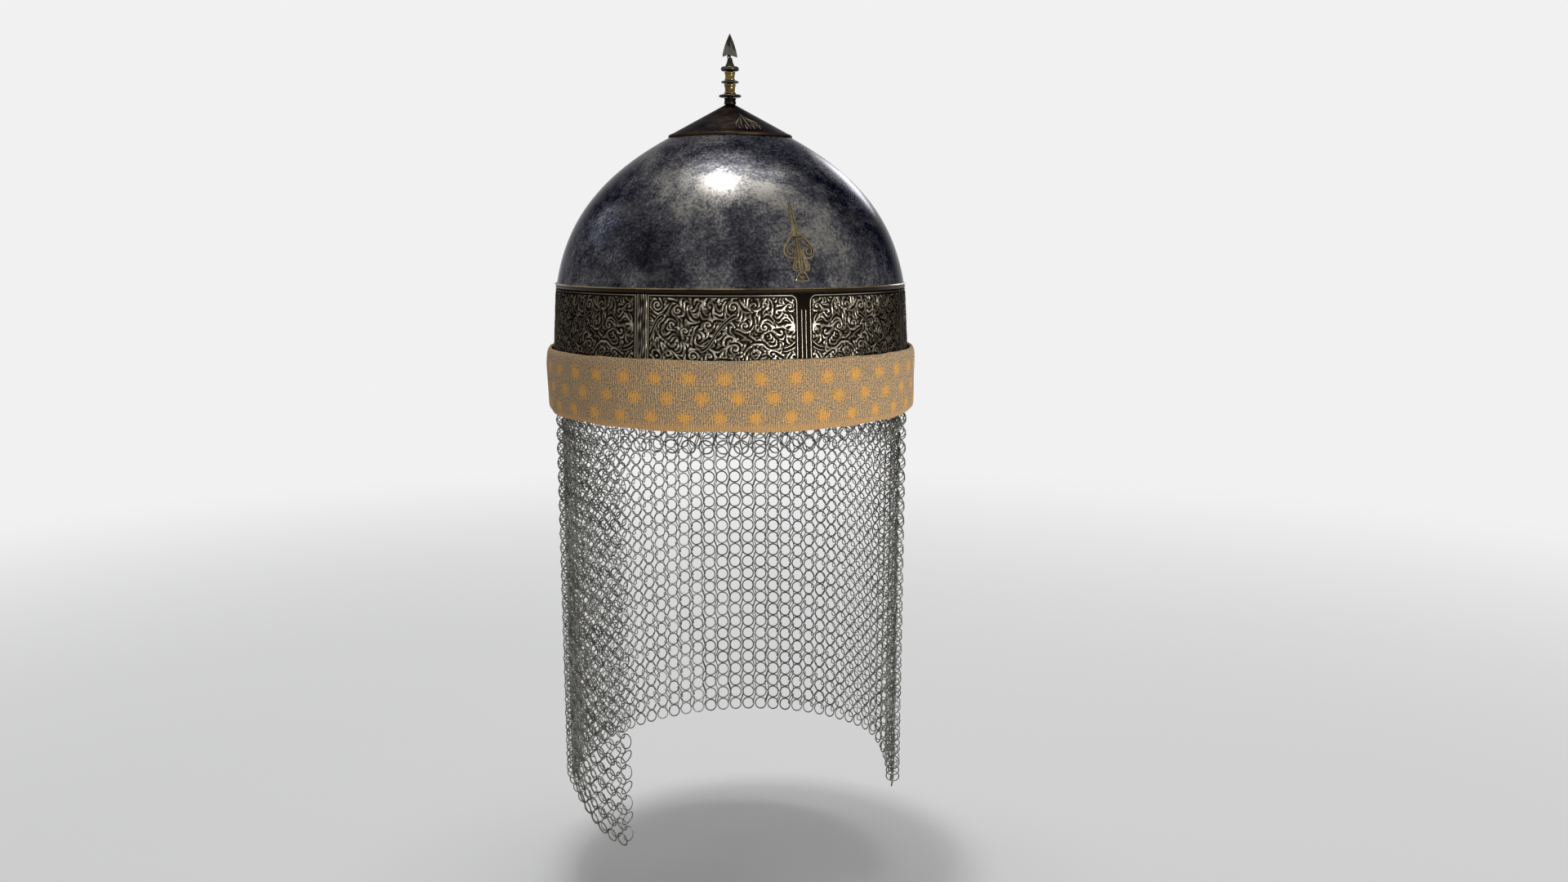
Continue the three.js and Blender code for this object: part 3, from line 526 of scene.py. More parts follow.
# %% Dark bronze
def bronze_look(place, marks):
    base = ramp(
        marks["Clouds"] + marks["Speckle"] * 0.2,
        (0.48, (0.006, 0.005, 0.004)),
        (0.62, (0.013, 0.010, 0.009)),
        (0.78, (0.040, 0.032, 0.026)),
    )
    blue = ramp(marks["Streaks"], (0.52, 0.0), (0.7, 0.45))
    colour = age(mix(blue, base, (0.032, 0.031, 0.036)), (0.01, 0.007, 0.005), (0.050, 0.032, 0.018), 0.4)
    return colour, ramp(marks["Clouds"], (0.4, 0.34), (0.7, 0.5)), bump(marks["Speckle"], 0.2, 0.06)


dark_bronze = make_metal("dark_bronze", bronze_look, 34.0, 700.0, 3.0, Specular_Tint=EDGE_TINT)


# %% Gilt and brass
def make_yellow_metal(name, dull, bright, seed, roughness):
    """Yellow metal: dull in the hollows and clouds, bright where it is rubbed."""
    rubbed = [min(1.0, channel * 1.25) for channel in bright]

    def yellow_look(place, marks):
        patchy = marks["Clouds"] + marks["Speckle"] * 0.25
        colour = age(ramp(patchy, (0.5, dull), (0.72, bright)), (0.03, 0.018, 0.008), rubbed, 0.7, 0.9)
        gloss = ramp(patchy, (0.5, roughness + 0.14), (0.7, roughness))
        return colour, gloss, bump(marks["Speckle"], 0.15, 0.04)

    return make_metal(name, yellow_look, 90.0, 1200.0, seed)


gilt = make_yellow_metal("gilt", (0.036, 0.027, 0.016), (0.245, 0.192, 0.112), 7.0, 0.17)
aged_brass = make_yellow_metal("aged_brass", (0.014, 0.010, 0.005), (0.150, 0.105, 0.038), 11.0, 0.12)
old_gilt = make_yellow_metal("old_gilt", (0.020, 0.012, 0.006), (0.085, 0.046, 0.019), 13.0, 0.3)


# %% Bright steel
def bright_look(place, marks):
    base = ramp(marks["Clouds"], (0.42, (0.014, 0.011, 0.009)), (0.66, (0.065, 0.058, 0.050)))
    # The light colour on sharp edges is partly real wear and partly a painted glint on the edges of the
    # spearhead, cone and discs.
    colour = age(base, (0.02, 0.014, 0.01), (0.23, 0.21, 0.185), 0.42)
    return colour, ramp(marks["Clouds"], (0.4, 0.2), (0.65, 0.1)), bump(marks["Speckle"], 0.15, 0.03)


bright_steel = make_metal("bright_steel", bright_look, 120.0, 1500.0, 5.0, Specular_Tint=EDGE_TINT)

# %% Crown plate
PLATE_RADIUS = 36.9
PLATE_FACE = SEAT_GAP + 1.0
PLATE_BEAD = [(0.0, 0.1), (0.25, 0.22), (0.7, 0.3), (1.15, 0.22), (1.4, 0.0)]


def plate_face(radius, proud=0.0):
    return crown_height(radius) + PLATE_FACE + proud


plate_line = [(radius, crown_height(radius) + SEAT_GAP) for radius in (BORE_RADIUS, PLATE_RADIUS)]
plate_line += [(PLATE_RADIUS - inset, plate_face(PLATE_RADIUS - inset, proud)) for inset, proud in PLATE_BEAD]
plate_line += [(radius, plate_face(radius)) for radius in (*CROWN_RINGS, BORE_RADIUS)]
finish_piece("crown_cap", turn(plate_line, ROUND_STEPS), dark_bronze, nodes=["crown_plate"])
edge_line = [
    (PLATE_RADIUS - 0.02, plate_face(PLATE_RADIUS, -0.16)),
    (PLATE_RADIUS + 0.06, plate_face(PLATE_RADIUS, -0.1)),
    (PLATE_RADIUS + 0.05, plate_face(PLATE_RADIUS)),
    (PLATE_RADIUS - 0.04, plate_face(PLATE_RADIUS - 0.04, 0.05)),
]
finish_piece("crown_gilt_edge", turn(edge_line, ROUND_STEPS), old_gilt)

# %% [markdown]
# The finial is a stack of turned pieces on one rod: a dark collar, three steel discs and two brass
# spools, and a small cone under the spearhead. Each keeps the foot and height of its solid, and
# gets the soft rounds and narrow waists that a turner leaves.

# %% Turned pieces
TURNED_STEPS = 48
COLLAR_SHARES = [(1.0, 0.0), (1.0, 0.45), (0.8, 0.55), (0.8, 0.7), (1.0, 0.8), (0.95, 1.0)]
DISC_SHARES = [
    (0.55, 0.0), (0.78, 0.06), (0.93, 0.2), (1.0, 0.42), (1.0, 0.58), (0.93, 0.8), (0.78, 0.94), (0.55, 1.0),
]
SPOOL_SHARES = [
    (0.92, 0.0), (1.0, 0.04), (1.0, 0.13), (0.92, 0.18), (0.75, 0.23), (0.69, 0.36),
    (0.67, 0.48), (0.7, 0.6), (0.76, 0.71), (0.92, 0.77), (1.0, 0.82), (1.0, 0.95), (0.92, 1.0),
]


def piece_reach(node):
    """Foot, top and radius of a turned solid in millimetres."""
    low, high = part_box(node)
    return low.z / MM, high.z / MM, high.x / MM


def turn_piece(name, node, shares, material):
    """Spins an outline whose points are shares of the solid's radius and height."""
    foot, top, radius = piece_reach(node)
    line = [(lerp(BORE_RADIUS, radius, across), lerp(foot, top, up)) for across, up in shares]
    bm = turn([(BORE_RADIUS, foot)] + line + [(BORE_RADIUS, top)], TURNED_STEPS)
    round_corners(bm, 0.12)
    finish_piece(name, bm, material, nodes=[node])


turn_piece("collar_turned", "neck_collar", COLLAR_SHARES, dark_bronze)
for level in ("lower", "middle", "upper"):
    turn_piece(f"disc_{level}", f"{level}_disc", DISC_SHARES, bright_steel)
for level in ("lower", "upper"):
    turn_piece(f"spool_{level}", f"{level}_spool", SPOOL_SHARES, aged_brass)

# %% Cone under the point
CONE_BORE = 0.9
cone_foot, cone_top, cone_radius = piece_reach("finial_cone")
cone_line = [(CONE_BORE, cone_foot)]
for share, up in ((0.94, 0), (1, 0.35), (0.86, 1.0), (0.68, 2.2), (0.56, 3.6)):
    cone_line.append((cone_radius * share, cone_foot + up))
cone_line += [(1.45, cone_top - 0.4), (1.3, cone_top), (CONE_BORE, cone_top)]
cone = turn(cone_line, TURNED_STEPS)
round_corners(cone, 0.1)
finish_piece("cone_turned", cone, bright_steel, nodes=["finial_cone"])

# %% [markdown]
# The spearhead has four blades with deep valleys between them, and its foot is barbed: each blade's
# heel points a little downwards. It starts as an eight-cornered star that is extruded upwards in
# steps, each one smaller. A bevel then gives the blades their edge.

# %% Spearhead
VALLEY_SHARE = 0.3
VALLEY_RISE = 1.5
SPEAR_STATIONS = [(0.1, 1.0), (0.3, 0.86), (0.5, 0.68), (0.7, 0.45), (0.86, 0.23), (1.0, 0.035)]


def make_spearhead():
    foot, top, reach = piece_reach("spearhead")
    bm = bmesh.new()
    for corner in bmesh.ops.create_circle(bm, cap_ends=True, segments=8, radius=reach * MM)["verts"]:
        is_blade = round(math.atan2(corner.co.y, corner.co.x) / (math.pi / 4)) % 2 == 0
        if not is_blade:
            corner.co *= VALLEY_SHARE
        corner.co.z = (foot + (0.0 if is_blade else VALLEY_RISE)) * MM
    face = bm.faces[:]
    before = 1.0
    for share, size in SPEAR_STATIONS:
        face = bmesh.ops.extrude_discrete_faces(bm, faces=face)["faces"]
        for corner in face[0].verts:
            corner.co.x *= size / before
            corner.co.y *= size / before
            corner.co.z = lerp(foot, top, share) * MM
        before = size
    bmesh.ops.recalc_face_normals(bm, faces=bm.faces)
    round_corners(bm, 0.12, angle=math.radians(40))
    return bm


finish_piece("spear_point", make_spearhead(), bright_steel, nodes=["spearhead"])

# %% [markdown]
# The brow band is chiselled: seven long cartouches full of scrolls stand between plain dividers. A
# chiselled ground has hundreds of small ridges, so it is made as real relief. Each cartouche is a
# fine grid that is laid on the band's cone and pushed out by a height that is worked out for every
# corner at once: a framed edge, a swinging stem, coiled volutes and short ridges that flow round
# them. The ridges near the front are painted brighter and those further round darker: a painted
# highlight and painted shade for the light that falls from the front.

# %% Band sizes
BAND_FACE = SEAT_GAP + 0.7
BAND_STEPS = 192
PANEL_FOOT = 30.4
PANEL_TOP = 68.0
DIVIDER_WIDTH = 6.5
DIVIDER_STEP = math.radians(49)
PANEL_ROUND = 4.5
PANEL_SINK = -0.25
PANEL_RAISE = 0.12
RELIEF_HEIGHT = 0.5
RELIEF_CELL = 0.27
RIB_CELL = 0.2
FLUTE_CELL = 0.25
RIB_TOP = 60.5
RIB_HALF_WIDTH = 2.2


def band_face(height):
    return band_seat(height) + BAND_FACE


# %% Chiselled steel
def chiselled_look(place, marks):
    """Black in the grooves and bright on the ridges, by the relief that the mesh carries. That relief also
    holds painted shade, so the band is darker on its sides than over the front.
    """
    value = attribute(place.tree, "relief") + 0.25 - marks["Clouds"] * 0.5
    colour = ramp(
        value,
        (0.05, (0.006, 0.004, 0.003)),
        (0.45, (0.022, 0.018, 0.012)),
        (0.75, (0.125, 0.111, 0.083)),
        (1.0, (0.420, 0.385, 0.310)),
    )
    return colour, ramp(value, (0.1, 0.5), (0.8, 0.26)), bump(marks["Speckle"], 0.25, 0.04)


chiselled_steel = make_metal("chiselled_steel", chiselled_look, 38.0, 1300.0, 9.0, Specular_Tint=EDGE_TINT)

# %% Band base
band_line = [
    (band_seat(BAND_FOOT) + SEAT_GAP, BAND_FOOT),
    (band_face(BAND_FOOT), BAND_FOOT),
    (band_face(BAND_TOP), BAND_TOP),
    (band_seat(BAND_TOP) + SEAT_GAP, BAND_TOP),
]
band_base = turn(band_line, BAND_STEPS)
round_corners(band_base, 0.2)
finish_piece("band_base", band_base, chiselled_steel, nodes=["brow_band"])


# %% Waves and lines over whole arrays
def smooth_step(low, high, value):
    share = np.clip((value - low) / (high - low), 0, 1)
    return share * share * (3 - 2 * share)


def hill(distance, width):
    """One at a distance of 0, falling softly to nothing: the cross-section of a chiselled line."""
    return np.exp(-((distance / width) ** 2))


def wave_noise(across, up, size, seed, waves=14):
    """Soft seeded noise: a sum of sine waves with random headings."""
    generator = np.random.default_rng(seed)
    total = np.zeros_like(across)
    for wave in range(waves):
        heading = generator.uniform(0, FULL_TURN)
        length = size * generator.uniform(0.7, 1.5)
        shift = generator.uniform(0, FULL_TURN)
        along = across * math.cos(heading) + up * math.sin(heading)
        total += np.sin(along * FULL_TURN / length + shift)
    return total / math.sqrt(waves / 2)


# %% Field of small volutes
RIDGE_SPACING = 2.15
GRAIN_CELL = 0.125
GRAIN_CELLS = 1024
FLOW_STEPS = 8
FLOW_STEP = 0.4
VOLUTE_SPACING = 11
VOLUTE_ROWS = 3
INWARD_PULL = 0.25


def ridge_grain(seed):
    """A square of seeded noise that holds only waves about one ridge apart. Its edges join up."""
    static = np.random.default_rng(seed).standard_normal((GRAIN_CELLS, GRAIN_CELLS))
    rates = np.fft.fftfreq(GRAIN_CELLS, GRAIN_CELL)
    rate = np.hypot(rates[:, None], rates[None, :]) * RIDGE_SPACING
    grain = np.fft.ifft2(np.fft.fft2(static) * hill(rate - 1, 0.36)).real
    return grain / grain.std()


def scroll_centres(width, height, seed):
    """Small volutes on a loose grid: (across, up, sense of turning, reach, radius of its coil)."""
    jitter = np.random.default_rng(seed)
    columns = round(width / VOLUTE_SPACING)
    centres = []
    for column in range(columns):
        for row in range(VOLUTE_ROWS):
            across = (column + 0.5 + 0.25 * (row % 2) + jitter.uniform(-0.25, 0.25)) * width / columns
            up = (row + 0.5 + jitter.uniform(-0.22, 0.22)) * height / VOLUTE_ROWS
            sense = jitter.choice([-1, 1])
            reach = jitter.uniform(2.8, 5.2)
            coil = reach * 0.6 if jitter.random() < 0.6 else 0.0
            centres.append((across, up, sense, reach, coil))
    return centres


def flow(across, up, centres, seed):
    """Heading of the ridges at each place: a wandering drift, turned round and round each volute."""
    east = 0.25 + 0.8 * wave_noise(across, up, 12, seed, waves=8)
    north = 0.8 * wave_noise(across, up, 12, seed + 1, waves=8)
    for centre_across, centre_up, sense, reach, coil in centres:
        away_across, away_up = across - centre_across, up - centre_up
        away = np.hypot(away_across, away_up) + 1e-6
        pull = hill(away, reach) * 3.2
        east = east + pull * (-sense * away_up - INWARD_PULL * away_across) / away
        north = north + pull * (sense * away_across - INWARD_PULL * away_up) / away
    length = np.hypot(east, north) + 1e-6
    return east / length, north / length


def flowing_ridges(across, up, centres, seed):
    """Short ridges along the field: the grain, averaged along the line through each place."""
    grain = ridge_grain(seed)
    total = np.zeros_like(across)
    for sense in (1, -1):
        at_across, at_up = across.copy(), up.copy()
        for step in range(FLOW_STEPS):
            column = np.round(at_across / GRAIN_CELL).astype(int) % GRAIN_CELLS
            row = np.round(at_up / GRAIN_CELL).astype(int) % GRAIN_CELLS
            total += grain[row, column] * math.cos(step / FLOW_STEPS * math.pi / 2)
            east, north = flow(at_across, at_up, centres, seed)
            at_across += sense * FLOW_STEP * east
            at_up += sense * FLOW_STEP * north
    return smooth_step(-1.0, 0.7, total / total.std())


# %% Heights of the scrollwork
STEM_PERIOD = 34
STEM_HEIGHT = 0.45
STEM_SWING = 0.24
COIL_PITCH = 2.0


def scroll_relief(across, up, width, height, seed):
    """Relief from 0 to 1 of a panel: flowing ridges, coiled volutes and a double-lined stem."""
    centres = scroll_centres(width, height, seed)
    relief = flowing_ridges(across, up, centres, seed)
    relief = relief * (0.75 + 0.25 * smooth_step(-1, 1, wave_noise(across, up, 7, seed + 5)))
    for centre_across, centre_up, sense, reach, coil_radius in centres:
        if not coil_radius:
            continue
        away_across, away_up = across - centre_across, up - centre_up
        away = np.hypot(away_across, away_up)
        turns = away / COIL_PITCH + sense * np.arctan2(away_up, away_across) / FULL_TURN
        coil = (0.5 + 0.5 * np.cos(turns * FULL_TURN)) ** 0.8
        share = 1 - smooth_step(coil_radius - 0.4, coil_radius + 0.4, away)
        relief = relief * (1 - share) + np.maximum(coil, hill(away, 0.75)) * share
    period = width / round(width / STEM_PERIOD)
    swing = height * STEM_SWING
    phase = FULL_TURN * (across + 2.5 * wave_noise(across, up, 30, seed + 8)) / period
    slope = swing * FULL_TURN / period * np.cos(phase)
    stem = np.abs(up - height * STEM_HEIGHT + swing * np.sin(phase)) / np.hypot(1, slope)
    near_stem = (1 - smooth_step(1.5, 2.1, stem)) * smooth_step(-0.3, 0.2, np.cos(phase))
    return relief * (1 - near_stem) + hill(stem - 1.0, 0.42) * near_stem


def inside_distance(across, up, width, height, corner):
    """Distance in from a rectangle's rounded outline: negative outside it."""
    over_across = np.abs(across - width / 2) - (width / 2 - corner)
    over_up = np.abs(up - height / 2) - (height / 2 - corner)
    outside = np.hypot(np.maximum(over_across, 0), np.maximum(over_up, 0))
    return corner - outside - np.minimum(np.maximum(over_across, over_up), 0)


# %% Cartouches, ribs and flutes
PANEL_SEED = 23
SQUARE_CORNER = 0.8
FLUTE_PITCH = 1.5


def panel_heights(across, up, width, height, by_front=False):
    """Relief, and the distance that the panel stands out from the band's plain face."""
    corner = np.where((across < width / 2) & by_front, PANEL_ROUND, SQUARE_CORNER)
    inside = inside_distance(across, up, width, height, corner)
    scrolls = scroll_relief(across, up, width, height, PANEL_SEED) * smooth_step(1.5, 2.1, inside)
    relief = hill(inside - 0.75, 0.4) + scrolls
    ground = lerp(PANEL_SINK, PANEL_RAISE, smooth_step(0, 0.35, inside))
    return relief, ground + RELIEF_HEIGHT * relief * smooth_step(0, 0.3, inside)


def rib_heights(across, up, width, height):
    """Two thin ribs down the dark divider at the front."""
    lines = sum(hill(across - width / 2 - side, 0.34) for side in (-1.2, 1.2))
    relief = lines * (smooth_step(0.2, 1.2, up) * smooth_step(0.2, 1.0, height - up))
    return relief, -0.15 + 0.72 * relief


def fluted_heights(across, up, width, height):
    """A side divider: worn upright flutes between two thin lines, level with the panels."""
    middle = np.abs(across - width / 2)
    flutes = 0.5 + 0.32 * np.cos(across * FULL_TURN / FLUTE_PITCH + 0.8 * wave_noise(across, up, 14, 77))
    worn = flutes + 0.14 * wave_noise(across, up * 0.5, 3.2, 78)
    relief = np.clip(np.maximum(worn, hill(middle - width / 2 + 0.6, 0.34)), 0, 1)
    shown = smooth_step(0, 0.3, width / 2 - middle)
    shown = shown * smooth_step(0, 0.3, up) * smooth_step(0, 0.3, height - up)
    return relief, lerp(PANEL_SINK, PANEL_RAISE, shown) + 0.36 * relief * shown


# %% Laying a relief on the band
# Painted highlight and painted shade: the ridges near the front are coloured brighter and those further round
# darker, for the light that falls from the front.
PAINTED_LIGHT_MIDDLE = math.radians(-14)
PAINTED_LIGHT_REACH = (math.radians(26), math.radians(58))
PAINTED_SHADE_SHARE = 0.68


def read_places(mesh):
    places = np.empty(len(mesh.vertices) * 3)
    mesh.vertices.foreach_get("co", places)
    return places.reshape(-1, 3)


def lay_round(mesh, angle, radius, height):
    """Puts each corner of a mesh at an angle round the helmet, a radius and a height."""
    places = np.stack((np.sin(angle) * radius, -np.cos(angle) * radius, height), axis=1)
    mesh.vertices.foreach_set("co", (places * MM).ravel())
    mesh.update()


def relief_grid(name, start, end, foot, top, heights, cell, flipped=False, **details):
    """A grid bent round the band between two angles and pushed out by a height function."""
    width = (end - start) * band_face((foot + top) / 2)
    bm = bmesh.new()
    bmesh.ops.create_grid(bm, x_segments=round(width / cell), y_segments=round((top - foot) / cell), size=0.5)
    mesh = add_mesh(name, bm)
    places = read_places(mesh)
    share_across, share_up = ((line - line.min()) / np.ptp(line) for line in (places[:, 0], places[:, 1]))
    across = (1 - share_across if flipped else share_across) * width
    up = share_up * (top - foot)
    relief, stand_out = heights(across, up, width, top - foot, **details)
    angle = start + share_across * (end - start)
    # Painted shade: away from the front the relief is darkened by this share.
    painted_shade = smooth_step(*PAINTED_LIGHT_REACH, np.abs(angle - PAINTED_LIGHT_MIDDLE))
    lay_round(mesh, angle, band_face(foot + up) + stand_out, foot + up)
    # The relief attribute carries the painted shade into the material.
    shown = relief * lerp(1.0, PAINTED_SHADE_SHARE, painted_shade)
    mesh.attributes.new("relief", "FLOAT", "POINT").data.foreach_set("value", shown)
    settle(add_object(name, mesh), chiselled_steel)


# %% Seven cartouches and seven dividers
def make_band_relief():
    half_gap = DIVIDER_WIDTH / 2 / band_face(50)
    half_rib = RIB_HALF_WIDTH / band_face(50)
    dividers = [DIVIDER_STEP * step for step in range(-3, 4)]
    for number, angle in enumerate(dividers[:-1]):
        span = (angle + half_gap, angle + DIVIDER_STEP - half_gap, PANEL_FOOT, PANEL_TOP)
        by_front = number in (2, 3)
        name = f"band_panel_{number + 1}"
        relief_grid(name, *span, panel_heights, RELIEF_CELL, angle < 0, by_front=by_front)
    span = (dividers[-1] + half_gap, dividers[0] + FULL_TURN - half_gap, PANEL_FOOT, PANEL_TOP)
    relief_grid("band_panel_back", *span, panel_heights, RELIEF_CELL)
    for number, angle in enumerate(dividers):
        name = f"band_divider_{number + 1}"
        if angle == 0:
            relief_grid(name, -half_rib, half_rib, PANEL_FOOT, RIB_TOP, rib_heights, RIB_CELL)
        else:
            span = (angle - half_gap, angle + half_gap, PANEL_FOOT, PANEL_TOP)
            relief_grid(name, *span, fluted_heights, FLUTE_CELL)


make_band_relief()

# %% [markdown]
# A moulding closes the band's upper edge: a brass bead over a dark hollow. It is one turned
# outline. Below a set height it is coloured dark and above it is rubbed brass, so the height on the
# piece chooses between the two.

# %% Band moulding
HOLLOW_TOP = 70.15
HOLLOW_BLEND = 0.5
MOULDING_LINE = [
    (104.1, 68.5), (105.1, 68.5), (105.2, 68.7), (105.0, 69.0), (104.8, 69.5), (104.85, 70.0), (105.2, 70.25),
    (105.5, 70.45), (105.6, 70.7), (105.5, 70.95), (105.2, 71.13), (104.8, 71.2), (104.6, 71.2),
]


def moulding_look(place, marks):
    height = node_value(place.tree, "SeparateXYZ", "Z", {"Vector": place})
    above_hollow = calculate("MULTIPLY", height - HOLLOW_TOP * MM, 1 / (HOLLOW_BLEND * MM), clamp=True)
    rubbed = ramp(marks["Clouds"], (0.35, (0.070, 0.050, 0.022)), (0.68, (0.330, 0.255, 0.130)))
    colour = mix(above_hollow, (0.020, 0.014, 0.008), rubbed)
    return colour, ramp(above_hollow, (0.0, 0.5), (1.0, 0.34)), bump(marks["Speckle"], 0.05, 0.04)


moulding_brass = make_metal("moulding_brass", moulding_look, 60.0, 1200.0, 4.0)
moulding = turn(MOULDING_LINE, BAND_STEPS)
finish_piece("band_moulding", moulding, moulding_brass, nodes=["band_top_moulding"])

# %% [markdown]
# A pierced palmette of gilt metal stands on the brow, and a smaller spray of the same kind on the
# crown plate. Both are drawn flat, as strokes and leaves, and laid on the curved metal: a stroke is
# a round wire that thins at its ends, and a leaf is a small domed grid with a crease down its middle.

# %% Strokes and leaves
PATH_STEPS = 6
LEAF_COLUMNS = 8
STROKE_END = 0.55


def smooth_path(points):
    """Points of a soft curve through the given points."""
    given = [Vector(point) for point in points]
    given = [given[0] * 2 - given[1]] + given + [given[-1] * 2 - given[-2]]
    path = []
    for before, start, end, after in zip(given, given[1:], given[2:], given[3:]):
        for step in range(PATH_STEPS):
            t = step / PATH_STEPS
            bend = (2 * before - 5 * start + 4 * end - after) * t * t
            twist = (3 * start - before - 3 * end + after) * t**3
            path.append(0.5 * (2 * start + (end - before) * t + bend + twist))
    path.append(given[-2])
    return path


def lay_stroke(bm, lay, points, thickness):
    """Adds a wire along a flat path. lay(x, y, proud) gives its place on the helmet."""
    path = smooth_path(points)
    curve = bpy.data.curves.new("stroke", "CURVE")
    curve.dimensions = "3D"
    curve.bevel_depth = thickness * MM
    curve.bevel_resolution = 1
    curve.use_fill_caps = True
    spline = curve.splines.new("POLY")
    spline.points.add(len(path) - 1)
    for index, (point, place) in enumerate(zip(spline.points, path)):
        point.co = (*lay(place.x, place.y, thickness * 0.45), 1)
        from_end = min(index, len(path) - 1 - index) / len(path)
        point.radius = lerp(STROKE_END, 1.0, min(1.0, from_end * 6))
    holder = add_object("stroke", curve)
    bpy.context.view_layer.update()
    bm.from_mesh(holder.to_mesh())
    holder.to_mesh_clear()
    bpy.data.curves.remove(curve)


def lay_leaf(bm, lay, points, half_widths, rise):
    """Adds a domed leaf along a flat path, with a crease down its middle."""
    path = smooth_path(points)
    first = len(bm.verts)
    last_row = len(path) - 1
    bmesh.ops.create_grid(bm, x_segments=LEAF_COLUMNS, y_segments=last_row, size=0.5)
    bm.verts.ensure_lookup_table()
    for corner in bm.verts[first:]:
        across = corner.co.x * 2
        row = round((corner.co.y + 0.5) * last_row)
        ahead = (path[min(row + 1, last_row)] - path[max(row - 1, 0)]).normalized()
        share = row / last_row * (len(half_widths) - 1)
        half = float(np.interp(share, range(len(half_widths)), half_widths))
        flat = path[row] + Vector((ahead.y, -ahead.x)) * half * across
        dome_rise = rise * math.sqrt(max(0.0, 1 - across * across))
        crease = 0.45 * rise * math.exp(-((across / 0.2) ** 2))
        corner.co = lay(flat.x, flat.y, dome_rise - crease - 0.12)


def mirrored(points):
    return [(-across, up) for across, up in points]


# %% Palmette on the brow
LOBE = [
    (1.9, 100.6), (3.6, 98.2), (5.9, 95.6), (7.9, 93.0), (8.7, 90.6), (8.0, 88.1), (6.0, 86.9), (3.9, 86.8),
    (2.4, 87.3),
]
LOBE_CURL = [
    (1.7, 96.4), (3.2, 94.7), (5.0, 93.7), (6.7, 92.4), (7.1, 90.4), (6.0, 88.8), (4.5, 89.2), (4.1, 90.6),
    (5.1, 91.5),
]
SMALL_LOBE = [(2.2, 87.2), (3.7, 85.0), (4.7, 82.6), (4.6, 80.8), (3.2, 80.0), (1.6, 80.3)]
SMALL_CURL = [(1.4, 85.6), (2.6, 84.0), (3.2, 82.6), (2.6, 81.7), (1.9, 82.3)]
FOOT_LOBE = [(1.4, 79.8), (2.3, 78.2), (3.1, 76.6), (3.8, 75.0)]
SKIRT = [(0.9, 96.2), (1.7, 91.0), (2.9, 86.0), (3.5, 80.6)]
SHOULDER_LEAF = [(1.2, 101.8), (3.5, 98.8), (5.9, 95.8), (8.1, 92.4)]


def on_dome(across, height, proud):
    """Place on the bowl's face at a distance across from the front line and a height."""
    radius = dome_radius(height)
    slope = dome_radius(height + 0.5) - dome_radius(height - 0.5)
    tilt = math.hypot(1, slope)
    return on_helmet(across / radius, radius + proud / tilt, height + -proud * slope / tilt)


def make_palmette():
    bm = bmesh.new()
    lay_leaf(bm, on_dome, [(0, 98.2), (0, 104), (0, 110), (0, 116.5)], [2.9, 2.2, 1.6, 1.2, 0.6], 1.0)
    lay_leaf(bm, on_dome, [(0, 78.4), (0, 84), (0, 90), (0, 98.9)], [0.8, 1.5, 1.6, 1.4, 1.2, 0.9], 1.0)
    for skirt, shoulder in ((mirrored(SKIRT), mirrored(SHOULDER_LEAF)), (SKIRT, SHOULDER_LEAF)):
        lay_leaf(bm, on_dome, skirt, [0.3, 0.8, 1.2, 1.35, 0.9], 0.8)
        lay_leaf(bm, on_dome, shoulder, [0.9, 1.15, 1.0, 0.7, 0.4], 0.8)
    for line in (LOBE, LOBE_CURL, SMALL_LOBE, SMALL_CURL, FOOT_LOBE):
        thickness = 0.4 if line in (LOBE_CURL, SMALL_CURL) else 0.55
        lay_stroke(bm, on_dome, line, thickness)
        lay_stroke(bm, on_dome, mirrored(line), thickness)
    lay_stroke(bm, on_dome, [(-4.1, 74.9), (-1.5, 74.6), (1.5, 74.6), (4.1, 74.9)], 0.6)
    lay_stroke(bm, on_dome, [(-1.5, 77.0), (0, 76.6), (1.5, 77.0)], 0.55)
    return bm


finish_piece("palmette_gilt", make_palmette(), gilt, nodes=["front_palmette"])

# %% Spray on the crown plate
CROWN_LEAVES = [
    [(0.0, 14.5), (0.2, 20.5), (0.0, 27.0), (0.1, 33.5)],
    [(0.6, 16.5), (2.1, 21.5), (3.6, 26.5), (4.4, 32.5)],
    [(1.4, 18.5), (4.1, 22.5), (6.5, 26.0), (8.0, 30.5)],
]
CROWN_STROKES = [[(1.6, 27.5), (2.3, 30.0), (2.2, 33.0)], [(5.2, 27.0), (6.3, 29.6), (6.3, 32.4)]]
CROWN_LEAF_WIDTHS = [0.1, 0.34, 0.44, 0.3, 0.08]


def on_crown(across, radius, proud):
    """Place on the crown plate at a distance across from the front line and from the axis."""
    return on_helmet(across / radius, radius, plate_face(radius, proud))


def make_crown_spray():
    bm = bmesh.new()
    for number, leaf in enumerate(CROWN_LEAVES):
        lay_leaf(bm, on_crown, leaf, CROWN_LEAF_WIDTHS, 0.4)
        if number:
            lay_leaf(bm, on_crown, mirrored(leaf), CROWN_LEAF_WIDTHS, 0.4)
    for stroke in CROWN_STROKES:
        lay_stroke(bm, on_crown, stroke, 0.2)
        lay_stroke(bm, on_crown, mirrored(stroke), 0.2)
    return bm


finish_piece("crown_spray", make_crown_spray(), gilt)

# %% [markdown]
# The mail is drawn ring by ring. The main rings stand in a square grid, each leaning a little like a
# roof tile, so that their round eyes stay open. A thinner ring stands edge-on at each crossing and
# passes through two main rings, one above it and one below. Its slant changes from row to row. A
# ring is a circle spun into a hoop of a few faces, which is copied once per link.

# %% Mail steel
def mail_look(place, marks):
    colour = ramp(
        attribute(place.tree, "ring_tone") * 0.4 + marks["Clouds"] * 0.7,
        (0.3, (0.070, 0.068, 0.056)),
        (0.55, (0.165, 0.163, 0.148)),
        (0.85, (0.300, 0.298, 0.280)),
    )
    return colour, ramp(marks["Speckle"], (0.4, 0.3), (0.6, 0.46)), bump(marks["Speckle"], 0.2, 0.03)


mail_steel = make_metal("mail_steel", mail_look, 45.0, 1100.0, 2.0)

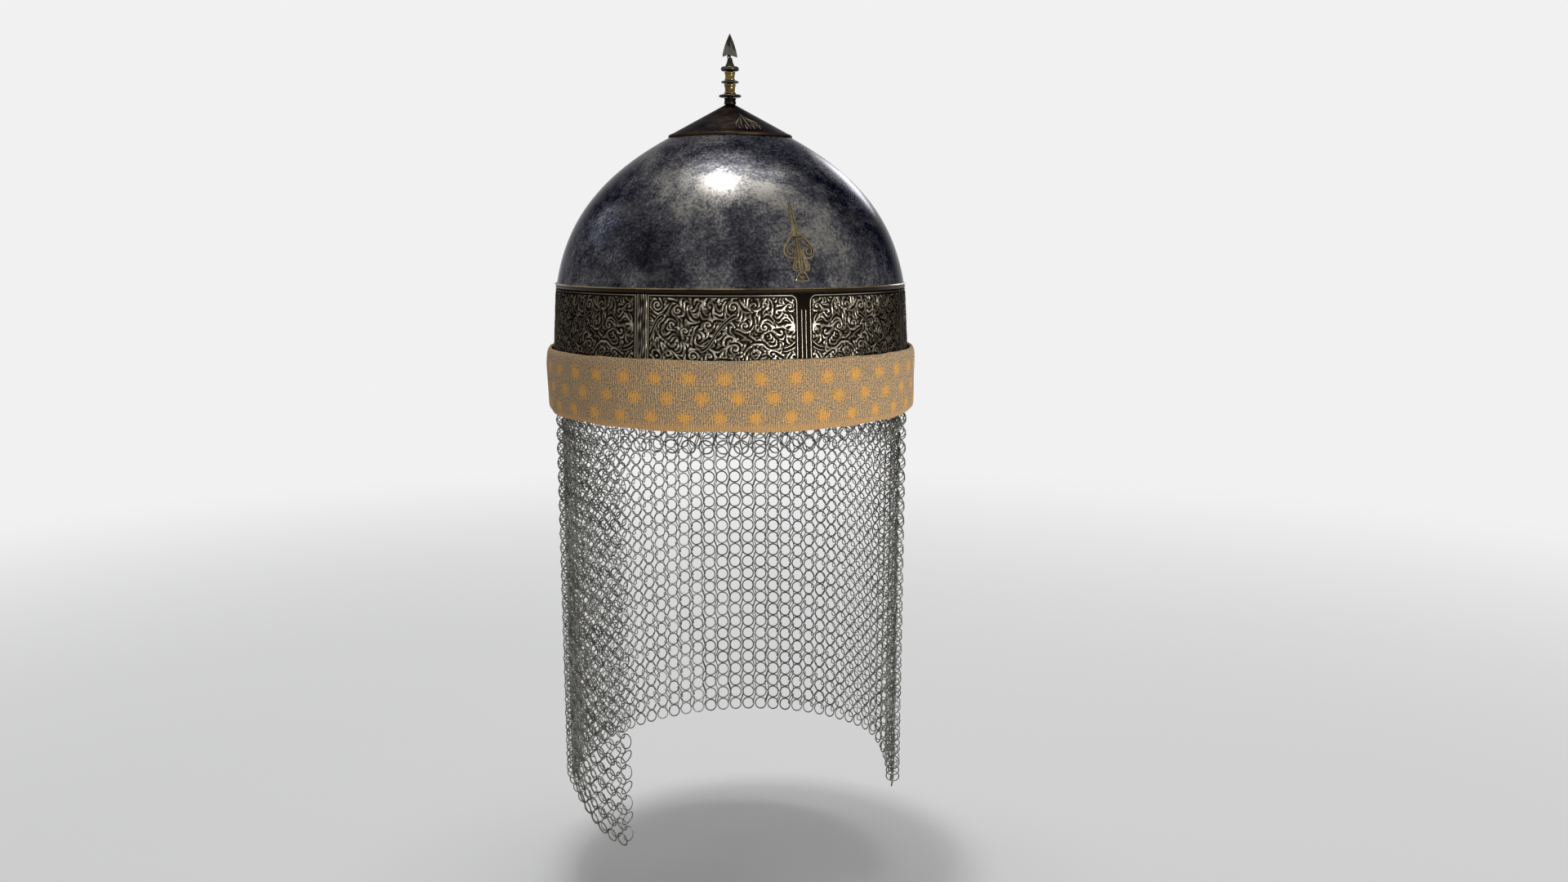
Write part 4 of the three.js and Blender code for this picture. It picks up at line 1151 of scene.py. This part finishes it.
# %% One link
MAIL_RADIUS = 102.7
MAIL_TOP = -2.2
MAIL_TAPER = 1.5
HEM_DROP = 235
POINT_DROP = 16
WIRE = 0.9
CONNECTOR_WIRE = 0.66
MAIN_RADIUS = 3.86
MAIN_LEAN = math.radians(12)
CONNECTOR_TILT = math.radians(18)
CONNECTOR_GAP = 0.45
LINK_SIDES = 4


def ring_mesh(name, wire, steps, sides=LINK_SIDES):
    """A hoop of radius one, with its wire's thickness at that scale, as a mesh to copy."""
    bm = bmesh.new()
    section = Matrix.Translation((1, 0, 0)) @ rotation(QUARTER_TURN, "X")
    bmesh.ops.create_circle(bm, segments=sides, radius=wire / 2, matrix=section)
    return add_mesh(name, sweep(bm, steps, 1e-4))


def hem_height(angle):
    """The hem, which drops into two points at the front."""
    from_front = min(abs(angle), FULL_TURN - abs(angle))
    share = min(1.0, max(0.0, (from_front - math.radians(64)) / math.radians(97 - 64)))
    pointed = 1 - share * share * (3 - 2 * share)
    return -HEM_DROP - POINT_DROP * pointed + 4 * math.cos(angle - math.radians(80))


def mail_radius(height):
    return MAIL_RADIUS - MAIL_TAPER * (MAIL_TOP - height) / HEM_DROP


def link_frame(angle, radius, height, lean, yaw=0.0, tilt=0.0):
    """Matrix that stands a ring up facing outward, then leans, swings and tilts it on the wall."""
    out = on_helmet(angle, 1, 0).normalized()
    across = Vector((math.cos(angle), math.sin(angle), 0))
    facing = Matrix((across, Vector((0, 0, 1)), out)).transposed().to_4x4()
    turned = rotation(-tilt, "Z") @ rotation(-yaw, "Y") @ rotation(lean, "X")
    return Matrix.Translation(on_helmet(angle, radius, height)) @ facing @ turned


# %% A net of links
main_link = ring_mesh("main link", WIRE / MAIN_RADIUS, 14)
connector_link = ring_mesh("connector link", CONNECTOR_WIRE / MAIN_RADIUS, 12)
draw = random.Random(41)


def add_link(bm, tones, link, matrix):
    """Adds one link with a tone of its own, and returns its corners."""
    first = len(bm.verts)
    bm.from_mesh(link)
    bm.verts.ensure_lookup_table()
    corners = bm.verts[first:]
    bmesh.ops.transform(bm, matrix=matrix, verts=corners)
    tones.extend([draw.random()] * len(corners))
    return corners


def sized(radius):
    """A link's size in millimetres, and its seam turned to anywhere on the ring."""
    return Matrix.Scale(radius * MM, 4) @ rotation(draw.uniform(0, FULL_TURN), "Z")


def finish_links(name, bm, tones, nodes, body="helmet"):
    mesh = add_mesh(name, bm)
    mesh.attributes.new("ring_tone", "FLOAT", "POINT").data.foreach_set("value", tones)
    return settle(add_object(name, mesh), mail_steel, nodes, body)


def make_net(name, angles, column_angle, rows, hem_at, body, nodes, join_left, join_right):
    """Main rings in a grid with a connector at each crossing, also at a border shared with a neighbour."""
    bm = bmesh.new()
    tones = []
    for angle in angles:
        pitch = (MAIL_TOP - hem_at(angle)) / rows
        for row in range(rows):
            height = MAIL_TOP - pitch * (row + 0.5)
            lean = MAIN_LEAN + draw.uniform(-0.05, 0.05)
            place = link_frame(angle, mail_radius(height), height, lean, draw.uniform(-0.06, 0.06))
            add_link(bm, tones, main_link, place @ sized(MAIN_RADIUS))
    half = column_angle / 2
    borders = [angle + half for angle in angles[:-1]]
    if join_left:
        borders.insert(0, angles[0] - half)
    if join_right:
        borders.append(angles[-1] + half)
    for angle in borders:
        pitch = (MAIL_TOP - (hem_at(angle - half) + hem_at(angle + half)) / 2) / rows
        for row in range(1, rows):
            height = MAIL_TOP - pitch * row
            tilt = CONNECTOR_TILT if row % 2 else -CONNECTOR_TILT
            place = link_frame(angle, mail_radius(height), height, 0, QUARTER_TURN, tilt)
            add_link(bm, tones, connector_link, place @ sized(pitch / 2 - CONNECTOR_GAP))
    return finish_links(name, bm, tones, nodes, body)


# %% [markdown]
# The curtain swings in three drops. The free front halves of the side drops ride on their body.
# The other halves are left where they are made.

# %% Curtain
CURTAIN_ROWS = 27
HALF_COLUMNS = 8
FREE_HALVES = ("mail_left_1", "mail_right_2")


def border_point(column):
    return on_helmet(OPENING_HALF_ANGLE + COLUMN_ANGLE * column, MAIL_RADIUS, -100)


def make_curtain():
    first = 0
    for side in ("left", "nape", "right"):
        body = f"{side}_mail"
        for half in (1, 2):
            node = f"mail_{side}_{half}"
            free = node in FREE_HALVES
            net = make_net(
                f"links_{node}",
                curtain_angles[first : first + HALF_COLUMNS],
                COLUMN_ANGLE,
                CURTAIN_ROWS,
                hem_height,
                body if free else None,
                [node],
                join_left=first == 0,
                join_right=True,
            )
            ends = (border_point(first), border_point(first + HALF_COLUMNS))
            if not free:
                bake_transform(net)
            first += HALF_COLUMNS


make_curtain()

# %% Fringe over the brow
FRINGE_ROWS = 2
FRINGE_HEM = -18.8
make_net(
    "links_front_fringe",
    fringe_angles,
    FRINGE_COLUMN_ANGLE,
    FRINGE_ROWS,
    lambda angle: FRINGE_HEM,
    "helmet",
    ["front_fringe_1", "front_fringe_2", "front_fringe_3"],
    join_left=False,
    join_right=False,
)

# %% [markdown]
# Each column of mail hangs from a long ring that passes through its own hole in the rim. It is the
# same hoop as the others, pulled into an oval.

# %% Hanger rings
HANGER_RADIUS = 103.6
HANGER_HALF_WIDTH = 3.1
HANGER_FOOT = -3.75
HANGER_WIRE = 0.95


def make_hangers():
    link = ring_mesh("hanger link", HANGER_WIRE / HANGER_HALF_WIDTH, 16, 5)
    bm = bmesh.new()
    tones = []
    middle = (HANGER_TOP + HANGER_FOOT) / 2
    stretch = (HANGER_TOP - HANGER_FOOT) / 2 - HANGER_HALF_WIDTH
    for angle in curtain_angles + fringe_angles:
        facing = rotation(angle, "Z") @ rotation(QUARTER_TURN, "Y") @ rotation(QUARTER_TURN, "Z")
        for corner in add_link(bm, tones, link, facing @ Matrix.Scale(HANGER_HALF_WIDTH * MM, 4)):
            corner.co.z += stretch * MM * (1 if corner.co.z > 0 else -1)
            corner.co += on_helmet(angle, HANGER_RADIUS, middle)
    finish_links("links_hangers", bm, tones, [f"hanger_ring_{number}" for number in range(1, 16)])


make_hangers()

# %% [markdown]
# The cloth roll is a padded tube of woven cotton that is tied round the rim. It starts as a closed
# outline swept round the helmet, a little thinner than the real roll. The side that lies on the
# metal is pinned, and a short cloth simulation blows the rest up from inside, so it fills out the
# way stuffing does. How far a point may move is capped, so the roll keeps off the chiselled band.

# %% Puffing up a pad
PUFF_FRAMES = 20
PUFF_PRESSURE = 4
CLOTH_SETTINGS = {
    "quality": 4,
    "mass": 0.3,
    "tension_stiffness": 12,
    "compression_stiffness": 12,
    "shear_stiffness": 4,
    "bending_stiffness": 0.4,
    "vertex_group_mass": "pinned",
    "pin_stiffness": 5,
    "use_pressure": True,
    "uniform_pressure_force": PUFF_PRESSURE,
}


def puff(piece, pinned, cap):
    """Runs a short cloth simulation on a closed mesh and keeps its result, with each move capped."""
    before = read_places(piece.data)
    group = piece.vertex_groups.new(name="pinned")
    for index, weight in enumerate(pinned):
        if weight > 0:
            group.add([index], float(weight), "REPLACE")
    cloth = piece.modifiers.new("stuffing", "CLOTH")
    for name, value in CLOTH_SETTINGS.items():
        setattr(cloth.settings, name, value)
    cloth.settings.effector_weights.gravity = 0
    cloth.collision_settings.use_collision = False
    for number in range(1, PUFF_FRAMES + 1):
        bpy.context.scene.frame_set(number)
    apply_modifiers(piece)
    bpy.context.scene.frame_set(1)
    move = read_places(piece.data) - before
    length = np.linalg.norm(move, axis=1)
    limit = cap * MM
    move *= (limit * np.tanh(length / limit) / np.maximum(length, 1e-9))[:, None]
    piece.data.vertices.foreach_set("co", (before + move).ravel())
    piece.data.update()
    print(piece.name, "puffed up to", round(float(length.max()) / MM, 2), "mm, capped at", cap)


def make_pad(name, outline, steps, shape, cap, material, node):
    """A padded piece. shape(angle, radius, height) gives its radii, its heights and what is pinned."""
    piece = add_object(name, add_mesh(name, turn(outline, steps)))
    places = read_places(piece.data) / MM
    angle = np.arctan2(places[:, 0], -places[:, 1])
    radius, height, pinned = shape(angle, np.hypot(places[:, 0], places[:, 1]), places[:, 2])
    lay_round(piece.data, angle, radius, height)
    puff(piece, pinned, cap)
    finer = piece.modifiers.new("finer", "SUBSURF")
    finer.levels = 1
    finer.render_levels = 1
    apply_modifiers(piece)
    settle(piece, material, [node])


# %% [markdown]
# The roll's cotton is a ribbed tan weave with rows of fuzzy orange spots. The weave follows the
# surface: the angle round the axis, times the radius, runs along the roll, and the height runs
# across it. Dyed threads of blue grey and orange give a speckle of about one thread's size.

# %% Cloth laid out flat
CLOTH_RADIUS = 111.5
SPOTS_ROUND = 36
SPOT_PITCH = FULL_TURN * CLOTH_RADIUS / SPOTS_ROUND
SPOT_ROW_GAP = 10.6
SPOT_ROW_FOOT = 2.2
SPOT_RADIUS = 3.9
RIB_PITCH = 1.3
THREAD_PITCH = 0.9


def flat_vector(along, across):
    return node_value(along.tree, "CombineXYZ", 0, {"X": along, "Y": across})


def cloth_places(place):
    """The angle round the axis, and the millimetres along and across the cloth, also as a vector."""
    parts = add_node(place.tree, "SeparateXYZ", {"Vector": place}).outputs
    angle = calculate("ARCTAN2", Value(parts["X"]), Value(parts["Y"]) * -1.0)
    along = angle * CLOTH_RADIUS
    across = Value(parts["Z"]) * (1 / MM)
    return angle, along, across, flat_vector(along, across)


def rib(distance, pitch):
    """A wave of threads from -1 to 1."""
    return calculate("SINE", distance * (FULL_TURN / pitch))


# %% Rows of spots
def spot_mask(angle, across, flat, speckle):
    """One inside the spots, with ragged edges: staggered rows, the top one shifted a little more."""
    row = (across - SPOT_ROW_FOOT) / SPOT_ROW_GAP
    number = calculate("MINIMUM", calculate("ROUND", row), 2.0)
    top_row = calculate("GREATER_THAN", number, 1.5)
    stagger = calculate("PINGPONG", number, 1.0) * -0.5 + (top_row * -0.13 + 0.5)
    spot = angle * (SPOTS_ROUND / FULL_TURN) + stagger
    away_along = (spot - calculate("ROUND", spot)) * (SPOT_PITCH * 0.92)
    away_across = (row - number) * SPOT_ROW_GAP
    away = vector_math("LENGTH", flat_vector(away_along, away_across), result="Value")
    ragged = (noise_value(flat, 0.55, detail=4.0, roughness=0.7) - 0.5) * 9.0
    inside = SPOT_RADIUS - (away + ragged) + (speckle - 0.5) * 11.0
    return ramp(inside * 0.26 + 0.5, (0.36, 0.0), (0.9, 0.92))


# %% Printed cotton
def make_printed_cloth():
    material, tree, shader = new_material(
        "printed_cloth", Roughness=0.92, Sheen_Weight=0.06, Sheen_Roughness=0.6, Specular_IOR_Level=0.2
    )
    angle, along, across, flat = cloth_places(object_place(tree))
    drift = (noise_value(flat, 0.16, detail=2.0) - 0.5) * 3.0
    warp = rib(along + drift, RIB_PITCH) * 0.5 + 0.5
    weft = rib(across, THREAD_PITCH) * 0.5 + 0.5
    thread = warp * 0.75 + weft * 0.25
    speckle = noise_value(flat, 1.05, detail=2.0, roughness=0.8)
    hue = noise_value(vector_math("ADD", flat, (410.0, 230.0, 0.0)), 0.7, detail=2.0, roughness=0.8)
    dirt = noise_value(flat, 0.055, detail=5.0, roughness=0.6)
    base = ramp(
        speckle,
        (0.34, (0.150, 0.155, 0.175)),
        (0.45, (0.300, 0.240, 0.160)),
        (0.53, (0.560, 0.390, 0.195)),
        (0.64, (0.780, 0.455, 0.155)),
    )
    tint = ramp(hue, (0.38, (0.74, 0.80, 1.00)), (0.5, (1.0, 1.0, 1.0)), (0.62, (1.15, 0.96, 0.72)))
    base = mix(1.0, base, tint, "MULTIPLY")
    woven = mix(1.0, base, mix(thread, (0.50, 0.48, 0.48), (1.15, 1.15, 1.15)), "MULTIPLY")
    soiled = mix(ramp(dirt, (0.5, 0.0), (0.78, 0.45)), woven, (0.200, 0.160, 0.115))
    dye = mix(speckle, (0.56, 0.25, 0.04), (0.86, 0.46, 0.11))
    dyed = mix(1.0, dye, mix(thread, (0.80, 0.78, 0.76), (1.05, 1.05, 1.05)), "MULTIPLY")
    colour = mix(spot_mask(angle, across, flat, speckle), soiled, dyed)
    hem = ramp(across * -0.2 + 0.5, (0.72, 0.0), (1.0, 0.55))
    feed(shader.inputs["Base Color"], mix(hem, colour, (0.56, 0.30, 0.10)))
    feed(shader.inputs["Normal"], bump(thread + speckle * 0.7, 0.55, 0.35))
    return material


# %% Roll shape
ROLL_STEPS = 260
ROLL_MIDDLE = 14.5
ROLL_HALF_HEIGHT = 18.5
ROLL_OUTER = [
    (108.9, -4.0), (109.9, -3.4), (110.5, -1.6), (110.8, 1.4), (111.0, 5.0), (111.1, 9.0), (111.15, 13.0),
    (111.2, 17.0), (111.25, 21.0), (111.3, 25.0), (111.2, 28.4), (111.0, 30.9), (110.5, 32.5), (109.6, 33.3),
]
ROLL_INNER = [
    (108.6, 33.2), (108.0, 32.2), (109.1, 30.4), (109.1, 26.5), (109.1, 23.0), (107.6, 20.0), (107.0, 15.0),
    (107.0, 10.0), (107.9, 6.0), (107.9, 2.0), (107.9, -2.0), (108.2, -3.6),
]
EDGE_WAVES = ((0.32, 5, 0.4), (0.26, 9, 2.1), (0.2, 14, 4.0), (0.13, 23, 1.2), (0.1, 37, 5.1))


def roll_shape(angle, radius, height):
    """The roll's edges wave, its foot sags towards the front, and its face is a little lumpy."""
    outer = np.interp(height, [up for across, up in ROLL_OUTER], [across for across, up in ROLL_OUTER])
    loose = smooth_step(-1.2, -0.2, radius - outer)
    waves = sum(weight * np.sin(angle * count + shift) for weight, count, shift in EDGE_WAVES)
    from_middle = (height - ROLL_MIDDLE) / ROLL_HALF_HEIGHT
    height = height + waves * 1.3 * np.clip(from_middle, -1, 1) * np.abs(from_middle) * loose
    sag = 0.8 + 1.3 * hill(angle + 0.3, 0.5)
    height = height - sag * np.clip(-from_middle, 0, 1) ** 2
    along = angle * 111
    lumps = wave_noise(along, height, 26, 61) * 0.16 + wave_noise(along, height, 9, 62) * 0.07
    return radius + lumps * loose, height, 1 - loose


make_pad(
    "cloth_roll_padded",
    ROLL_OUTER + ROLL_INNER,
    ROLL_STEPS,
    roll_shape,
    cap=0.9,
    material=make_printed_cloth(),
    node="cloth_roll",
)

# %% [markdown]
# Inside the bowl sits a quilted cap of plain cotton. It starts thin, with both of its skins swept
# from the bowl's own outline. The lines of quilting and the skin against the steel are pinned, and
# the same short simulation lets the inner skin puff up between them.

# %% Lining cotton
def make_lining_cloth():
    material, tree, shader = new_material(
        "lining_cloth", Roughness=0.95, Sheen_Weight=0.2, Specular_IOR_Level=0.2
    )
    place = object_place(tree)
    angle, along, across, flat = cloth_places(place)
    thread = rib(along, THREAD_PITCH) * rib(across, THREAD_PITCH) * 0.5 + 0.5
    dirt = noise_value(place, 30.0, detail=6.0, roughness=0.65)
    base = ramp(
        dirt, (0.36, (0.075, 0.055, 0.034)), (0.56, (0.165, 0.125, 0.080)), (0.7, (0.235, 0.190, 0.125))
    )
    shade = mix(thread, (0.75, 0.75, 0.75), (1.05, 1.05, 1.05))
    feed(shader.inputs["Base Color"], mix(1.0, base, shade, "MULTIPLY"))
    feed(shader.inputs["Normal"], bump(thread + noise_value(flat, 0.8, detail=3.0), 0.4, 0.25))
    return material


# %% Lining
LINING_FOOT = 7
LINING_START_WALL = 2.6
LINING_POINTS = 56
GORES = 24
QUILT_GAP = 20
STITCH_WIDTH = 1.3
SEWN_IN = 0.9
UNSEWN_RADIUS = 20


def lining_line(inset):
    """The bowl's outline, set in, from the lining's foot to the crown, at even steps."""
    line = bowl_line(inset, LINING_FOOT, 3.0)
    lengths = np.cumsum([0] + [math.dist(start, end) for start, end in zip(line, line[1:])])
    places = np.linspace(0, lengths[-1], LINING_POINTS)
    radii, heights = (np.interp(places, lengths, values) for values in zip(*line))
    return list(zip(radii.tolist(), heights.tolist()))


outer_skin = lining_line(WALL + SEAT_GAP)
inner_skin = lining_line(WALL + SEAT_GAP + LINING_START_WALL)


def from_line(share, gap):
    """Distance to the nearest of a row of evenly spaced lines."""
    return np.abs((share + 0.5) % 1 - 0.5) * gap


def lining_shape(angle, radius, height):
    """Sews the inner skin in along its gores and tiers, and leaves it free between them."""
    inner = np.array(inner_skin)
    reach = np.hypot(radius[:, None] - inner[None, :, 0], height[:, None] - inner[None, :, 1]).min(axis=1)
    on_inner = reach < 0.4
    gore = from_line(angle / FULL_TURN * GORES, FULL_TURN) * radius / GORES
    tier = from_line((height - LINING_FOOT - 4) / QUILT_GAP, QUILT_GAP)
    stitched = np.minimum(gore, tier) < STITCH_WIDTH
    sewn_in = np.where(on_inner & stitched & (radius > UNSEWN_RADIUS), SEWN_IN, 0.0)
    return radius + sewn_in, height, np.where(on_inner & ~stitched, 0.0, 1.0)


make_pad(
    "lining_quilted",
    outer_skin + inner_skin[::-1],
    ROUND_STEPS,
    lining_shape,
    cap=1.3,
    material=make_lining_cloth(),
    node="lining",
)

# %% [markdown]
# A few small solids keep their CAD shape, because nothing but an edge of them ever shows: the
# rivets under the roll, and the rod, washer and nut that hold the finial. They only get the real
# metals in place of their plain colours.

# %% Finishes on the CAD pieces that stay
dressed = {f"band_rivet_{rivet}": aged_brass for rivet in range(1, 5)}
dressed |= {"finial_rod": bright_steel, "crown_washer": bright_steel, "crown_nut": blued_steel}
for node, material in dressed.items():
    piece = bpy.data.objects[node]
    for slot in piece.material_slots:
        slot.material = material
    if not piece.material_slots:
        piece.data.materials.append(material)
print("dressed", len(dressed), "CAD pieces")

# %% [markdown]
# The camera stands where the photograph's stood. Its place and lens come from the same fit that
# gave the helmet its proportions.

# %% Camera
camera_data = bpy.data.cameras.new("camera")
camera_data.lens = 31.875
camera_data.sensor_width = 36
camera = add_object("camera", camera_data)
camera.location = (-0.3133, -0.7872, 0.1005)
camera.rotation_euler = (math.radians(90 - 8.53), 0, math.radians(-23.87))
bpy.context.scene.camera = camera
print("camera", [round(value, 3) for value in camera.location])

# %% [markdown]
# The stage is a plain pale floor under plain soft light. Four softboxes and a pale world light the
# metal evenly, and a small key lamp high above leaves the round highlight on the bowl. Far from the
# helmet the floor fades into the same pale grey as the world, so that no horizon shows.

# %% Floor and world
FLOOR_HEIGHT = -0.3
PAPER = (0.88, 0.88, 0.88, 1)
WORLD_STRENGTH = 0.29


def seen_directly(tree):
    """One for what the camera sees, also in metal and through glass."""
    camera, through, shine = (
        node_value(tree, "LightPath", f"Is {ray} Ray") for ray in ("Camera", "Transmission", "Glossy")
    )
    return calculate("MAXIMUM", calculate("MAXIMUM", camera, through), shine)


def show_paper(tree, share, lit, paper_kind, output):
    """Shows plain paper white in place of a lit shader, by a share."""
    paper = node_value(tree, paper_kind, 0, {"Color": PAPER, "Strength": 1.0})
    values = {"Fac": share, 1: Value(lit.outputs[0]), 2: paper}
    feed(tree.nodes[output].inputs["Surface"], node_value(tree, "MixShader", 0, values))


def make_floor():
    bm = bmesh.new()
    place = Matrix.Translation((0, 0, FLOOR_HEIGHT))
    bmesh.ops.create_circle(bm, cap_ends=True, segments=64, radius=6.0, matrix=place)
    floor = add_object("floor", add_mesh("floor", bm, smooth=False))
    material, tree, shader = new_material(
        "floor", Roughness=0.9, Base_Color=(0.8, 0.8, 0.8, 1), Specular_IOR_Level=0.1
    )
    from_middle = vector_math("LENGTH", object_place(tree), result="Value")
    values = {"Value": from_middle, "From Min": 0.45, "From Max": 1.6}
    far = node_value(tree, "MapRange", "Result", values, interpolation_type="SMOOTHSTEP")
    show_paper(tree, far * seen_directly(tree), shader, "Emission", "Material Output")
    floor.data.materials.append(material)


def make_world():
    world = bpy.data.worlds.new("studio")
    bpy.context.scene.world = world
    world.use_nodes = True
    tree = world.node_tree
    background = tree.nodes["Background"]
    feed(background.inputs["Color"], (1, 1, 1, 1))
    feed(background.inputs["Strength"], WORLD_STRENGTH)
    show_paper(tree, seen_directly(tree), background, "Background", "World Output")


make_floor()
make_world()


# %% Lamps
def add_lamp(name, place, target, width, height, power, colour=(1, 1, 1)):
    data = bpy.data.lights.new(name, "AREA")
    data.shape = "RECTANGLE"
    data.size = width
    data.size_y = height
    data.energy = power
    data.color = colour
    lamp = add_object(name, data)
    lamp.location = place
    lamp.rotation_euler = (Vector(target) - Vector(place)).to_track_quat("-Z", "Y").to_euler()
    print(name, power, "W")


add_lamp("key lamp", (-0.11, 0.04, 1.92), (-0.03, -0.07, 0.13), 0.2, 0.2, 11.0)
add_lamp("overhead softbox", (0.12, 0.22, 1.85), (0, 0, 0.1), 1.25, 0.6, 8.2)
add_lamp("front softbox", (0.6, -2.2, -0.12), (0, 0, 0.05), 1.2, 0.3, 32.0)
add_lamp("left softbox", (-1.1, 1.15, 1.0), (0, 0, 0.1), 0.7, 0.5, 1.6, (0.8, 0.87, 1.0))
add_lamp("rim softbox", (1.19, 1.2, 0.66), (0.06, -0.05, 0.12), 0.4, 0.28, 4.5)

bpy.context.scene.view_settings.view_transform = "Standard"
